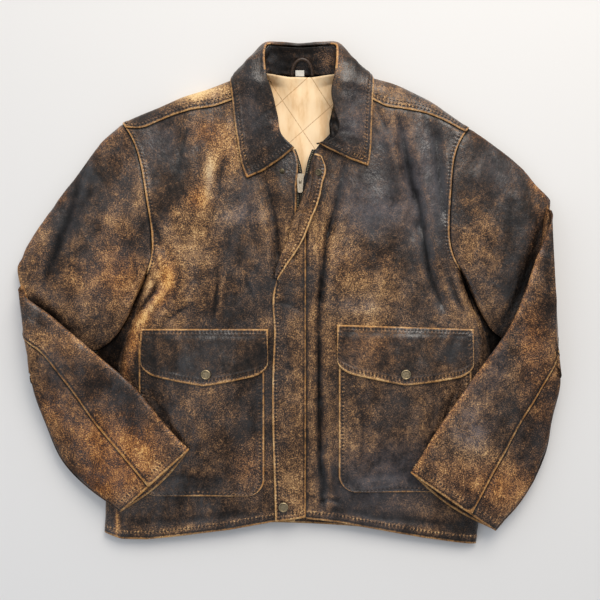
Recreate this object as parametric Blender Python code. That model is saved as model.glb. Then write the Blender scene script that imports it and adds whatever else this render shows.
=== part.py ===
"""A worn leather jacket laid flat on its back, modelled as the pieces that were cut and sewn.

Frame: metres, +X to the side with the storm flap's seam, +Y towards the collar, +Z up from the
surface that the jacket lies on. Tables and constants are in millimetres and are scaled on building.
"""
import math

import bpy
import bmesh
from mathutils import Matrix, Vector

MM = 0.001

# ---- driving dimensions, mm ----
LEATHER = 2.0           # wall of the shell leather with its backing
LINING_WALL = 1.6       # quilted lining
COLLAR_WALL = 2.4       # two layers turned
TAPE_WALL = 1.0         # zip tape
TAPE_WIDTH = 11.0
TAPE_DROP = 1.4          # tape under the fronts' inner face
SEAM_GAP = 0.3          # between neighbouring pieces
LAY_GAP = 0.5           # under a piece that lies on a curved panel
EDGE_HEIGHT = 8.0       # height of the rounded side and shoulder edges above the surface
EDGE_ROUND = 22.0       # distance from the edge where the top face reaches its full height
UNDER_ROUND = 11.0      # the same for the face on the surface
CENTRE_LINE = 16.0      # X of the closed zip
SNAP_RADIUS = 7.5
TAB_WIDTH = 8.6
TAB_LENGTH = 19.0

# Silhouette of the body where it has a rounded edge: (x, y)
SHOULDER_LEFT = ((-38, 331), (-60, 330), (-86, 322), (-124, 307.5), (-161, 296), (-196, 280.5),
                 (-222, 270), (-252, 256), (-300, 205))
SHOULDER_RIGHT = ((71, 331), (95, 333), (125, 325), (165, 313), (188, 302), (217, 287), (237, 273),
                  (271, 249), (330, 205))
SIDE_LEFT = ((-216, 26), (-221, 5), (-232, -30), (-242, -60), (-251, -90), (-258, -130),
             (-268, -200), (-277, -290), (-279, -362))
SIDE_RIGHT = ((259, 33), (262, 19), (270, -5), (277, -22), (289, -44), (297, -70), (302, -105),
              (301, -170), (295, -260), (288, -335), (281, -379))

# Height of the fronts' outer face: (y, at the left, in the middle, at the right)
BODY_HEIGHT = (
    (-380, 15, 18, 15),
    (-300, 17, 21, 17),
    (-180, 19, 24, 19),
    (-60, 21, 27, 21),
    (30, 24, 30, 24),
    (140, 28, 32, 28),
    (230, 28, 31, 28),
    (340, 27, 29, 27),
)
BODY_HALF_WIDTH = 265.0

# Largest folds of the fronts: (x0, y0, x1, y1, half width, height)
FOLDS = (
    (82, 187, 59, 94, 16, -3.5),
    (59, 94, 47, -9, 15, -3.5),
    (47, -9, 44, -161, 12, -2.5),
    (44, -161, 46, -300, 11, -2.0),
    (168, 240, 192, 100, 17, -4.0),
    (192, 100, 226, -12, 16, -3.5),
    (221, 230, 230, 120, 12, -2.0),
    (148, 235, 168, 100, 16, 2.5),
    (-196, 50, -214, 0, 14, 3.5),
    (-190, 120, -205, 60, 16, -2.5),
    (-116, 200, -130, 110, 20, 2.5),
    (-33, 165, -18, 60, 12, -3.0),
)

# Seam between the sleeve and the body, from the underarm to the shoulder edge, as a bowed line:
# (underarm point, shoulder point, bow towards the body)
ARMHOLE_LEFT = ((-216, 26), (-252, 256), 21.0)
ARMHOLE_RIGHT = ((259, 33), (271, 249), -25.0)

# Forward shoulder seam, from the armhole to the neck point: (x, y)
SHOULDER_SEAM_LEFT = ((-148, 274.5), (-110, 279), (-87, 287), (-42, 303))
SHOULDER_SEAM_RIGHT = ((165, 276), (142, 279), (126, 287), (75, 303))

# Sections of the fronts below the underarm: (y at the side, y at the centre edge)
FRONT_LOW_LEFT = ((-361, -343), (-330, -318), (-285, -278), (-225, -225), (-165, -165),
                  (-110, -110), (-60, -60), (-20, -18))
FRONT_LOW_RIGHT = ((-378, -338), (-345, -318), (-285, -278), (-225, -225), (-165, -165),
                   (-110, -110), (-60, -60), (-20, -18))
# Centre edge and neckline of the fronts at the sections from the underarm up:
# (corner of the armhole ring that the section starts from, x, y)
CENTRE_LEFT = ((0, 9.5, 30), (1, 9.5, 40), (2, 9.5, 62), (3, 10, 100), (4, 10, 152), (5, 7.5, 211),
               (5.5, -21, 243), (6, -42, 303))
CENTRE_RIGHT = ((0, 25, 34), (1, 25, 44), (2, 25, 64), (3, 25, 97), (4, 27, 150), (5, 40, 214),
                (5.5, 66, 245), (6, 75, 303))
HEM_CENTRE_LEFT = 8.0
HEM_CENTRE_RIGHT = 25.0

# Columns of the fronts: steps in from the side edge in mm, then shares of the rest
EDGE_STEPS = (0.0, 3.5, 12.0)
COLUMN_SHARES_LEFT = (0.2, 0.4, 0.6, 0.78, 0.9, 1.0)
COLUMN_SHARES_RIGHT = (0.2, 0.38, 0.56, 0.74, 0.87, 0.94, 1.0)

# Back neck edge: (x of the rounded outline, its y, x of the edge, its y, its height, share of wrap)
BACK_NECK = (
    (-31, 329, -36, 322, 15.0, 0.45),
    (-8, 326, -8, 326, 7.5, 0.0),
    (16, 326, 16, 326, 6.5, 0.0),
    (42, 326, 42, 326, 7.5, 0.0),
    (65, 329, 69, 322, 15.0, 0.45),
)
NECK_LIFT = 3.6         # the back stands clear of the fall folded under it
NECK_LIFT_CENTRE = (16, 345)
NECK_LIFT_RADIUS = (98, 46)

# Sleeves: edge 1 runs on from the shoulder, edge 2 from the underarm.
# (x1, y1, z1, x2, y2, z2, half thickness, turn over the elbow fold in degrees)
SLEEVE_LEFT = (
    (-285, 224, 14, -230, -4, 14, 14, 0),
    (-319, 178, 14, -247, -42, 13, 13, 0),
    (-351, 132, 14, -271, -74, 13, 13, 0),
    (-381, 88, 13, -309, -93, 12, 12, 0),
    (-397, 50, 12, -352, -104, 11, 11, 0),
    (-404, 6, 23, -390, -106, 22, 8, 90),
    (-350, -36, 37, -382, -146, 27, 10, 180),
    (-286, -90, 38.5, -366, -194, 22, 10.5, 180),
    (-230, -138, 39, -342, -250, 20, 10.5, 180),
    (-184, -194, 39, -301, -292, 24, 10, 180),
    (-149, -232, 38, -251, -326, 28, 9, 180),
)
SLEEVE_RIGHT = (
    (305, 224, 14, 275, -2, 14, 14, 0),
    (342, 194, 14, 292, -36, 13, 13, 0),
    (368, 163, 13, 312, -62, 12, 12, 0),
    (383, 142, 12, 350, -80, 12, 11, 0),
    (390, 118, 23, 403.8, -92, 22, 8, 90),
    (363, 44, 37, 404, -135, 27, 10, 180),
    (327, -47, 38.5, 393, -190, 22, 10.5, 180),
    (270, -128, 39, 378, -246, 20, 10.5, 180),
    (218, -203, 39, 344, -310, 24, 10, 180),
    (180, -266, 38, 307, -354, 28, 9, 180),
)
ELBOW_TURNS = (30, 60, 90, 120, 150)
ELBOW_RADIUS = 11.5
RING_POWER = 2.5        # squareness of the flattened tube
RING_STEPS = 8          # facets across each face of the tube
ELBOW_SEAM_LEFT = 0.43  # share of the width from edge 2 where the elbow seam runs
ELBOW_SEAM_RIGHT = 0.30

# Collar, along its length: roll, crest, turn and outer edge of each section, each (x, y, height).
# Heights of "laid" sections are above the fronts, those of "free" sections above the surface.
COLLAR = (
    ("laid", (7, 215, 7), (-14, 198, 6), (-38, 182, 4.5), (-63, 171, 3.4)),
    ("laid", (-10, 231, 11), (-28, 219, 9), (-49, 203, 6), (-69, 186, 3.4)),
    ("laid", (-18, 262, 13), (-36, 255, 11), (-58, 244, 7), (-78, 232, 3.4)),
    ("laid", (-28, 303, 14), (-46, 301, 12), (-68, 296, 8), (-85, 290, 3.4)),
    ("laid", (-33, 317, 14.5), (-55, 315, 13.5), (-75, 311, 9.5), (-87, 307, 4.2)),
    ("free", (-35, 328, 41), (-62, 325, 38), (-80, 321, 32), (-88, 317, 24)),
    ("free", (-37, 348, 38), (-63, 346, 32), (-77, 338, 16), (-82, 330, 2)),
    ("free", (-37, 362, 35), (-56, 358, 20), (-63, 347, 3), (-62, 325, 0)),
    ("free", (-33, 371, 31), (-40, 375, 16), (-42, 365, 0), (-46, 320, 0)),
    ("free", (-14, 372, 27), (-15, 378, 14), (-15, 369, 0), (-14, 316, 0)),
    ("free", (16, 371, 25), (16, 376, 13), (16, 368, 0), (16, 315, 0)),
    ("free", (46, 372, 27), (47, 378, 14), (47, 369, 0), (46, 316, 0)),
    ("free", (68, 371, 31), (76, 375, 16), (76, 364, 0), (80, 321, 0)),
    ("free", (71, 362, 35), (93, 356, 20), (100, 345, 3), (98, 327, 0)),
    ("free", (70, 348, 38), (98, 346, 32), (113, 338, 16), (119, 333, 2)),
    ("free", (68, 328, 41), (96, 326, 38), (116, 323, 33), (125, 318, 28)),
    ("laid", (66, 317, 14.5), (88, 314, 13.5), (110, 310, 10), (125, 306, 4.2)),
    ("laid", (63, 303, 14), (82, 301, 12), (106, 297, 8), (124, 291, 3.4)),
    ("laid", (58, 264, 13), (78, 259, 11), (101, 252, 7), (122, 245, 3.4)),
    ("laid", (54, 236, 11), (73, 230, 9), (98, 219, 6), (120, 207, 3.4)),
    ("laid", (43, 222, 7), (62, 212, 6), (90, 199, 4.5), (117, 189, 3.4)),
)
STAND_WALL = 1.6
STAND_CORNER_RISE = 7.0  # the stand's foot above the back's edge at the corners of the neck
STAND_SETBACK = 5.0     # the neck seam lies this far outside the roll line on the fronts

# Storm flap, top to foot: (y, seam x, left fold x, edge x, height of the turned-back edge)
STORM_FLAP = (
    (206, 41, 32, 47, 5.0),
    (186, 34, 26.5, 54, 7.0),
    (166, 28.5, 23, 49, 8.0),
    (146, 26, 22.5, 45, 8.0),
    (130, 25.2, 17, 40, 8.0),
    (114, 24.7, 9, 33, 8.5),
    (98, 24.7, 4, 27, 8.5),
    (82, 24.7, 0, 20, 8.0),
    (62, 24.7, -8, 8, 6.5),
    (43, 24.7, -15, -5, 4.5),
    (22, 24.7, -20, -18, 2.6),
)
STORM_FLAP_LOW = ((0, -23.5), (-60, -22.5), (-120, -25), (-200, -25), (-270, -23), (-342, -21))
STORM_FLAP_FOOT_RISE = 6.0

# Patch pockets: (name, left x, right x, top y, foot y, corner radius)
POCKETS = (
    ("pocket_left", -225, -38, -72, -304, 26),
    ("pocket_right", 74, 272, -68, -298, 26),
)
POCKET_PUFF = 8.0       # how far the pocket bellies out from the front
PUFF_REACH = (66.0, 120.0)   # distance over which it does so, from its sides and from its foot
# Flaps: (name, left x, right x, top y, side y, point y)
FLAPS = (
    ("pocket_flap_left", -221, -32, -54, -100, -137),
    ("pocket_flap_right", 71, 275, -50, -104, -137),
)

# Shell colours, linear: (red, green, blue, roughness, metallic)
FINISHES = {
    "leather": (0.045, 0.028, 0.018, 0.45, 0.0),
    "collar_leather": (0.022, 0.016, 0.013, 0.42, 0.0),
    "lining": (0.72, 0.50, 0.30, 0.85, 0.0),
    "tape": (0.012, 0.011, 0.011, 0.8, 0.0),
    "brass": (0.42, 0.38, 0.24, 0.35, 1.0),
    "tab": (0.8, 0.78, 0.72, 0.8, 0.0),
}


# ---- small helpers ----
def clear_scene():
    for old in list(bpy.data.objects):
        bpy.data.objects.remove(old, do_unlink=True)


def finish_material(name):
    found = bpy.data.materials.get(name)
    if found:
        return found
    red, green, blue, roughness, metallic = FINISHES[name]
    made = bpy.data.materials.new(name)
    made.use_nodes = True
    shader = made.node_tree.nodes["Principled BSDF"]
    shader.inputs["Base Color"].default_value = (red, green, blue, 1.0)
    shader.inputs["Roughness"].default_value = roughness
    shader.inputs["Metallic"].default_value = metallic
    return made


def add_object(name, mesh, finish, smooth_angle=40):
    mesh.materials.append(finish_material(finish))
    made = bpy.data.objects.new(name, mesh)
    bpy.context.scene.collection.objects.link(made)
    mesh.shade_smooth()
    mesh.set_sharp_from_angle(angle=math.radians(smooth_angle))
    return made


def mix(a, b, share):
    return a + (b - a) * share


def smooth_step(value):
    value = min(max(value, 0.0), 1.0)
    return value * value * (3 - 2 * value)


def polyline_at(points, share):
    """Point at a share of a polyline's length."""
    vectors = [Vector(p) for p in points]
    runs = [(b - a).length for a, b in zip(vectors, vectors[1:])]
    left = share * sum(runs)
    for a, b, run in zip(vectors, vectors[1:], runs):
        if left <= run:
            return a.lerp(b, left / run)
        left -= run
    return vectors[-1]


def polyline_at_y(points, y):
    """X of a polyline whose y falls from its first point to its last."""
    for (xa, ya), (xb, yb) in zip(points, points[1:]):
        if yb <= y <= ya:
            return mix(xa, xb, (ya - y) / (ya - yb))
    return points[0][0] if y > points[0][1] else points[-1][0]


def segment_distance(x, y, xa, ya, xb, yb):
    """Distance to a segment and the share along it of the nearest point."""
    dx, dy = xb - xa, yb - ya
    share = min(max(((x - xa) * dx + (y - ya) * dy) / (dx * dx + dy * dy), 0.0), 1.0)
    return math.hypot(x - xa - dx * share, y - ya - dy * share), share


def polyline_distance(x, y, points):
    return min(segment_distance(x, y, *a, *b)[0] for a, b in zip(points, points[1:]))


# ---- the body's form ----
def edge_distance(x, y):
    return min(polyline_distance(x, y, line)
               for line in (SHOULDER_LEFT, SHOULDER_RIGHT, SIDE_LEFT, SIDE_RIGHT))


def rounding(distance, reach):
    gone = 1 - min(max(distance / reach, 0.0), 1.0)
    return math.sqrt(1 - gone * gone)


def fold_height(x, y):
    total = 0.0
    for xa, ya, xb, yb, half_width, height in FOLDS:
        away = segment_distance(x, y, xa, ya, xb, yb)[0]
        if away < 2.5 * half_width:
            total += height * math.exp(-(away / half_width) ** 2 * 1.6)
    return total


def crown(x, y):
    rows = BODY_HEIGHT
    for low, high in zip(rows, rows[1:]):
        if y <= high[0] or high is rows[-1]:
            share = smooth_step((y - low[0]) / (high[0] - low[0]))
            left, middle, right = (mix(low[k], high[k], share) for k in (1, 2, 3))
            break
    across = min(max(x / BODY_HALF_WIDTH, -1.0), 1.0)
    return middle + (right - left) / 2 * across + ((left + right) / 2 - middle) * across ** 2


def body_top(x, y):
    """Height of the fronts' outer face."""
    full = crown(x, y) + fold_height(x, y)
    return EDGE_HEIGHT + (full - EDGE_HEIGHT) * rounding(edge_distance(x, y), EDGE_ROUND)


def neck_lift(x, y):
    away = math.hypot((x - NECK_LIFT_CENTRE[0]) / NECK_LIFT_RADIUS[0],
                      (y - NECK_LIFT_CENTRE[1]) / NECK_LIFT_RADIUS[1])
    return NECK_LIFT * smooth_step((1.35 - away) / 0.35)


def body_under(x, y):
    """Height of the back's outer face."""
    rise = EDGE_HEIGHT * (1 - rounding(edge_distance(x, y), UNDER_ROUND))
    return max(rise, neck_lift(x, y))


def armhole_point(armhole, share):
    under, shoulder, bow = armhole
    belly = bow * (1 - abs(2 * share - 1) ** 4)
    return Vector((mix(under[0], shoulder[0], share) + belly, mix(under[1], shoulder[1], share)))


def ring_shares():
    """Shares of a flattened tube's width at the corners of its facets, and their fullness."""
    shares = []
    for k in range(RING_STEPS + 1):
        angle = math.pi * k / RING_STEPS
        along = math.copysign(abs(math.cos(angle)) ** (2 / RING_POWER), math.cos(angle))
        shares.append(((1 - along) / 2, abs(math.sin(angle)) ** (2 / RING_POWER)))
    return shares


RING = ring_shares()
SEAM_RING_INDEX = 6     # the forward shoulder seam meets the armhole at this corner


def armhole_corner(armhole, position, under=False):
    """A corner of the ring where sleeve and body meet, or a point between two corners."""
    low = int(position)
    points = []
    for index in (low, min(low + 1, RING_STEPS)):
        flat = armhole_point(armhole, RING[index][0])
        if index in (0, RING_STEPS):
            height = EDGE_HEIGHT
        else:
            height = body_under(*flat) if under else body_top(*flat)
        points.append(Vector((flat.x, flat.y, height)))
    return points[0].lerp(points[1], position - low)


# ---- walls from grids ----
def grid_normals(grid):
    rows, columns = len(grid), len(grid[0])
    normals = []
    for r in range(rows):
        line = []
        for c in range(columns):
            along = grid[min(r + 1, rows - 1)][c] - grid[max(r - 1, 0)][c]
            across = grid[r][min(c + 1, columns - 1)] - grid[r][max(c - 1, 0)]
            line.append(across.cross(along).normalized())
        normals.append(line)
    return normals


def shifted(grid, distance):
    """The grid moved along its own normals."""
    return [[point + normal * distance for point, normal in zip(points, normals)]
            for points, normals in zip(grid, grid_normals(grid))]


def wall(name, outer, inner, finish):
    """A closed wall between two grids of points of the same size."""
    rows, columns = len(outer), len(outer[0])
    mesh = bpy.data.meshes.new(name)
    build = bmesh.new()
    faces = [[[build.verts.new(point * MM) for point in line] for line in grid]
             for grid in (outer, inner)]
    top, under = faces
    for r in range(rows - 1):
        for c in range(columns - 1):
            build.faces.new((top[r][c], top[r][c + 1], top[r + 1][c + 1], top[r + 1][c]))
            build.faces.new((under[r][c], under[r + 1][c], under[r + 1][c + 1], under[r][c + 1]))
    rim = [(0, c) for c in range(columns)] + [(r, columns - 1) for r in range(1, rows)]
    rim += [(rows - 1, c) for c in range(columns - 2, -1, -1)] + [(r, 0) for r in range(rows - 2, 0, -1)]
    for (ra, ca), (rb, cb) in zip(rim, rim[1:] + rim[:1]):
        build.faces.new((top[ra][ca], under[ra][ca], under[rb][cb], top[rb][cb]))
    bmesh.ops.triangulate(build, faces=build.faces[:])
    bmesh.ops.recalc_face_normals(build, faces=build.faces[:])
    build.to_mesh(mesh)
    build.free()
    return add_object(name, mesh, finish)


def panel(name, outer, thickness, finish):
    return wall(name, outer, shifted(outer, -thickness), finish)


# ---- body ----
def front_rows(low, side, armhole, centre, hem_x):
    """Side point and centre point of each section of a front, hem to shoulder."""
    rows = []
    for side_y, centre_y in low:
        rows.append((Vector((polyline_at_y(side, side_y), side_y, EDGE_HEIGHT)), Vector((hem_x, centre_y))))
    for position, x, y in centre:
        rows.append((armhole_corner(armhole, position), Vector((x, y))))
    return rows


def column_points(start, end, shares):
    """Points across a section: steps in from its side, then shares of the rest."""
    run = (end - start).length
    direction = (end - start) / run
    points = [start + direction * step for step in EDGE_STEPS]
    points += [start + direction * mix(EDGE_STEPS[-1], run, share) for share in shares]
    return points


def front_grid(low, side, armhole, centre, hem_x, seam, shares):
    rows = front_rows(low, side, armhole, centre, hem_x)
    top_line = [armhole_corner(armhole, SEAM_RING_INDEX).xy] + [Vector(p) for p in seam]
    grid = []
    for index, (side_point, centre_point) in enumerate(rows):
        flat = column_points(side_point.xy, centre_point, shares)
        from_top = len(rows) - 1 - index
        if from_top < 3:
            run = (centre_point - side_point.xy).length
            for c, point in enumerate(flat):
                share = (point - side_point.xy).length / run
                bowed = polyline_at(top_line, share) - top_line[0].lerp(top_line[-1], share)
                flat[c] = point + bowed * (1 - from_top / 3)
        line = [Vector((p.x, p.y, body_top(p.x, p.y))) for p in flat]
        line[0].z = side_point.z + (SEAM_GAP / 2 if index <= len(low) else 0.0)
        grid.append(line)
    return grid


def mirrored_rows(grid):
    return [line[::-1] for line in grid]


def upright_rim(outer, inner, cells):
    """Stands the wall's rim upright at the given cells, so that sewn rims face each other."""
    for r, c in cells:
        thick = -LEATHER if inner[r][c].z < outer[r][c].z else LEATHER
        inner[r][c] = outer[r][c] + Vector((0, 0, thick))


def level_rim(outer, inner, cells, inward):
    """Lays the wall's rim level at the body's rounded side."""
    for r, c in cells:
        inner[r][c] = outer[r][c] + Vector((inward * LEATHER, 0, 0))


def build_front(name, grid, side_column, inward):
    inner = shifted(grid, -LEATHER)
    first = len(grid) - len(CENTRE_LEFT)
    upright_rim(grid, inner, [(len(grid) - 1, c) for c in range(len(grid[0]))])
    upright_rim(grid, inner, [(r, side_column) for r in range(first + 1, len(grid))])
    level_rim(grid, inner, [(r, side_column) for r in range(first + 1)], inward)
    return wall(name, grid, inner, "leather")


FRONTS = (
    ("front_left", FRONT_LOW_LEFT, SIDE_LEFT, ARMHOLE_LEFT, CENTRE_LEFT, HEM_CENTRE_LEFT,
     SHOULDER_SEAM_LEFT, COLUMN_SHARES_LEFT),
    ("front_right", FRONT_LOW_RIGHT, SIDE_RIGHT, ARMHOLE_RIGHT, CENTRE_RIGHT, HEM_CENTRE_RIGHT,
     SHOULDER_SEAM_RIGHT, COLUMN_SHARES_RIGHT),
)


def build_fronts():
    for name, *shape in FRONTS:
        grid = front_grid(*shape)
        if name == "front_left":
            build_front(name, grid, 0, 1)
        else:
            build_front(name, mirrored_rows(grid), len(grid[0]) - 1, -1)


def back_columns():
    """Outline point, end point, end height and share of wrap of each column."""
    halves = []
    for (name, *shape), outline in zip(FRONTS, (SHOULDER_LEFT, SHOULDER_RIGHT)):
        top_row = front_grid(*shape)[-1]
        line = [armhole_point(shape[2], 1.0)] + [Vector(p) for p in reversed(outline[:-2])]
        run = (top_row[-1].xy - top_row[0].xy).length
        halves.append([(polyline_at(line, (end.xy - top_row[0].xy).length / run),
                        Vector((end.x, end.y + SEAM_GAP)), end.z, 1.0) for end in top_row])
    left, right = halves
    neck = [(Vector((xo, yo)), Vector((xe, ye)), ze, wrap) for xo, yo, xe, ye, ze, wrap in BACK_NECK]
    return left + neck + right[::-1]


BACK_LOW = ((-361, -377), (-300, -300), (-200, -200), (-100, -100), (-35, -30))
HEM_BOW = 20.0          # rise of the hem between its corners
SHOULDER_DIP = 18.0     # where a column leaves the surface, measured in from the outline


SHOULDER_STEPS = (("under", 6), ("under", 7), ("edge", 8), ("top", 7), ("top", 6.5), ("top", 6))
STEP_REACH = {6: 1.0, 6.5: 0.6, 7: 0.22, 8: 0.0}     # share of the way from the outline


def back_grid():
    columns = back_columns()
    lefts, rights = [], []
    for left_y, right_y in BACK_LOW:
        lefts.append(Vector((polyline_at_y(SIDE_LEFT, left_y), left_y)))
        rights.append(Vector((polyline_at_y(SIDE_RIGHT, right_y), right_y)))
    for k in range(SEAM_RING_INDEX):
        lefts.append(armhole_point(ARMHOLE_LEFT, RING[k][0]))
        rights.append(armhole_point(ARMHOLE_RIGHT, RING[k][0]))
    first, last = columns[0][0], columns[-1][0]
    grid = []
    for r, (left, right) in enumerate(zip(lefts, rights)):
        line = []
        up = (left.y - lefts[0].y) / (first.y - lefts[0].y)
        for outline, end, _, _ in columns:
            share = (outline.x - first.x) / (last.x - first.x)
            bow = HEM_BOW * 4 * share * (1 - share) * (1 - up)
            arch = (outline.y - mix(first.y, last.y, share)) * up ** 2
            x, y = mix(left.x, right.x, share), mix(left.y, right.y, share) + bow + arch
            line.append(Vector((x, y, body_under(x, y))))
        if r <= len(BACK_LOW):
            line[0].z = line[-1].z = EDGE_HEIGHT - SEAM_GAP / 2
        grid.append(line)
    for order, (kind, position) in enumerate(SHOULDER_STEPS):
        line = [shoulder_point(kind, position, order, *column) for column in columns]
        line[0] = armhole_corner(ARMHOLE_LEFT, position, kind == "under")
        line[-1] = armhole_corner(ARMHOLE_RIGHT, position, kind == "under")
        if kind == "top":
            line[0].y += SEAM_GAP
            line[-1].y += SEAM_GAP
        grid.append(line)
    return grid


def shoulder_point(kind, position, order, outline, end, end_z, wrap):
    """A point of the back where it turns over the shoulder."""
    reach = STEP_REACH[position]
    if kind == "top":
        flat = outline.lerp(end, reach)
        height = end_z if position == SEAM_RING_INDEX else body_top(*flat)
    else:
        flat = outline + Vector(((end.x - outline.x) * reach, -SHOULDER_DIP * reach))
        height = EDGE_HEIGHT if kind == "edge" else body_under(*flat)
    wrapped = Vector((flat.x, flat.y, height))
    start = outline - Vector((0, SHOULDER_DIP))
    plain_start = Vector((start.x, start.y, body_under(*start)))
    plain = plain_start.lerp(Vector((end.x, end.y, end_z)), order / (len(SHOULDER_STEPS) - 1))
    return plain.lerp(wrapped, wrap)


def build_back():
    # the outer face looks down, so the grid is read from right to left
    outer = mirrored_rows(back_grid())
    inner = shifted(outer, -LEATHER)
    last = len(outer[0]) - 1
    side_rows = range(len(BACK_LOW) + 1)
    level_rim(outer, inner, [(r, 0) for r in side_rows], -1)
    level_rim(outer, inner, [(r, last) for r in side_rows], 1)
    turn_row = len(outer) - 4
    upright = [(r, c) for r in range(len(BACK_LOW) + 1, len(outer)) for c in (0, last) if r != turn_row]
    half = len(FRONTS[0][-1]) + len(EDGE_STEPS)
    upright += [(len(outer) - 1, c) for c in range(1, last) if not last - half + 1 > c > half]
    upright_rim(outer, inner, upright)
    for c in (0, last):
        inner[turn_row][c] = outer[turn_row][c] - Vector((0, LEATHER, 0))
    return wall("back", outer, inner, "leather")


# ---- sleeves ----
def turn_normal(edge_1, edge_2, turn):
    """Direction that the face which looks up at the armhole has after the given turn."""
    axis = (edge_1 - edge_2).normalized()
    return Matrix.Rotation(math.radians(turn), 3, axis) @ Vector((0, 0, 1))


def sleeve_frames(table, side):
    """Edge points, face direction and half thickness of every section after the armhole."""
    frames = []
    for x1, y1, z1, x2, y2, z2, half, turn in table:
        edge_1, edge_2 = Vector((x1, y1, z1)), Vector((x2, y2, z2))
        if turn != 90:
            frames.append((edge_1, edge_2, Vector((0, 0, 1 if turn == 0 else -1)), half))
            continue
        for step in ELBOW_TURNS:
            normal = turn_normal(edge_1, edge_2, -side * step)
            inward = turn_normal(edge_1, edge_2, -side * 90)
            shift = (inward - normal) * ELBOW_RADIUS
            frames.append((edge_1 + shift, edge_2 + shift, normal, half))
    return frames


def sleeve_ring(frame, front, inset):
    """Points of one face of a section, from edge 2 to edge 1; inset gives the wall's inner face."""
    edge_1, edge_2, normal, half = frame
    along = (edge_1 - edge_2).normalized()
    start, end = edge_2 + along * inset, edge_1 - along * inset
    lift = (half - inset) * (1 if front else -1)
    return [start.lerp(end, share) + normal * lift * full for share, full in RING]


def armhole_ring(armhole, side, front, inset):
    ring = []
    for index in range(RING_STEPS + 1):
        point = armhole_corner(armhole, index, not front) + Vector((side * SEAM_GAP, 0, 0))
        if index == 0:
            point.y += inset
        elif index == RING_STEPS:
            point.y -= inset
        else:
            point.z += -inset if front else inset
        ring.append(point)
    return ring


def cut_at(line, share_a, share_b):
    """The part of a line of ring points between two shares of its width."""
    points = []
    shares = [s for s, _ in RING]
    for index, share in enumerate(shares):
        if share_a < share < share_b:
            points.append((share, line[index]))
    for wanted in (share_a, share_b):
        if 0 <= wanted <= 1:
            for k in range(len(shares) - 1):
                if shares[k] <= wanted <= shares[k + 1]:
                    local = (wanted - shares[k]) / (shares[k + 1] - shares[k])
                    points.append((wanted, line[k].lerp(line[k + 1], local)))
                    break
    points.sort(key=lambda item: item[0])
    return [point for _, point in points]


def nudged(points, start_gap, end_gap):
    """Draws the ends of a line in by half a seam gap."""
    points = list(points)
    if start_gap:
        points[0] = points[0] + (points[1] - points[0]).normalized() * SEAM_GAP / 2
    if end_gap:
        points[-1] = points[-1] + (points[-2] - points[-1]).normalized() * SEAM_GAP / 2
    return points


UNDERARM_SHARE = 0.06  # the underarm seam runs just inside edge 2, on the back face


def build_sleeve(name, table, armhole, side, seam_share):
    frames = sleeve_frames(table, side)
    faces = {}
    for inset in (0.0, LEATHER):
        front = [armhole_ring(armhole, side, True, inset)] + [sleeve_ring(f, True, inset) for f in frames]
        back = [armhole_ring(armhole, side, False, inset)] + [sleeve_ring(f, False, inset) for f in frames]
        upper, under = [], []
        for front_line, back_line in zip(front, back):
            turned = cut_at(back_line, seam_share, 1.0)[::-1][1:]
            start = cut_at(back_line, 0.0, UNDERARM_SHARE)[::-1]
            upper.append(nudged(start[:-1] + front_line + turned, True, True))
            under.append(nudged(cut_at(back_line, UNDERARM_SHARE, seam_share), True, True))
        faces[inset] = (upper, under)
    flip = side > 0
    for part, label in ((0, "upper"), (1, "under")):
        outer, inner = faces[0.0][part], faces[LEATHER][part]
        if flip:
            outer, inner = mirrored_rows(outer), mirrored_rows(inner)
        wall(f"{name}_{label}", outer, inner, "leather")


# ---- collar ----
def collar_points(row):
    kind = row[0]
    return [Vector((x, y, height + (body_top(x, y) if kind == "laid" else 0.0)))
            for x, y, height in row[1:]]


def build_collar_fall():
    rows = []
    for row in COLLAR:
        roll, crest, turn, edge = collar_points(row)
        rows.append([edge, edge.lerp(turn, 0.5), turn, turn.lerp(crest, 0.5), crest, roll])
    return panel("collar_fall", rows, COLLAR_WALL, "collar_leather")


def build_collar_stand():
    rows = []
    for row in COLLAR:
        roll, crest, _, edge = collar_points(row)
        if row[0] == "laid":
            away = Vector((edge.x - roll.x, edge.y - roll.y, 0)).normalized()
            foot = roll + away * STAND_SETBACK
            foot.z = body_top(foot.x, foot.y) + LAY_GAP + 0.4
        else:
            near = min(BACK_NECK, key=lambda entry: abs(entry[2] - roll.x))
            corner = abs(roll.x - CENTRE_LINE) > 45
            foot = Vector((near[2] if corner else roll.x, near[3] + 1.0,
                           near[4] + (STAND_CORNER_RISE if corner else 0.6)))
        along = (crest - roll).normalized()
        level = Vector((-along.y, along.x, 0))
        face = level.cross(along).normalized()
        face = -face if face.z < 0 else face
        top = roll - face * (COLLAR_WALL + 2.0) + along * 1.0
        rows.append([top, top.lerp(foot, 0.5), foot])
    return panel("collar_stand", rows, STAND_WALL, "collar_leather")


# ---- placket ----
def storm_flap_section(y, seam_x, fold_x, edge_x, lift):
    seam = Vector((seam_x, y, body_top(seam_x, y) + (3.0 if y > 110 else 0.0)))
    fold = Vector((fold_x, y, body_top(fold_x, y) + LEATHER + LAY_GAP + 0.4 + lift / 2))
    edge = Vector((edge_x, y - 4, body_top(edge_x, y) + LEATHER + lift))
    return seam, fold, edge


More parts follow.
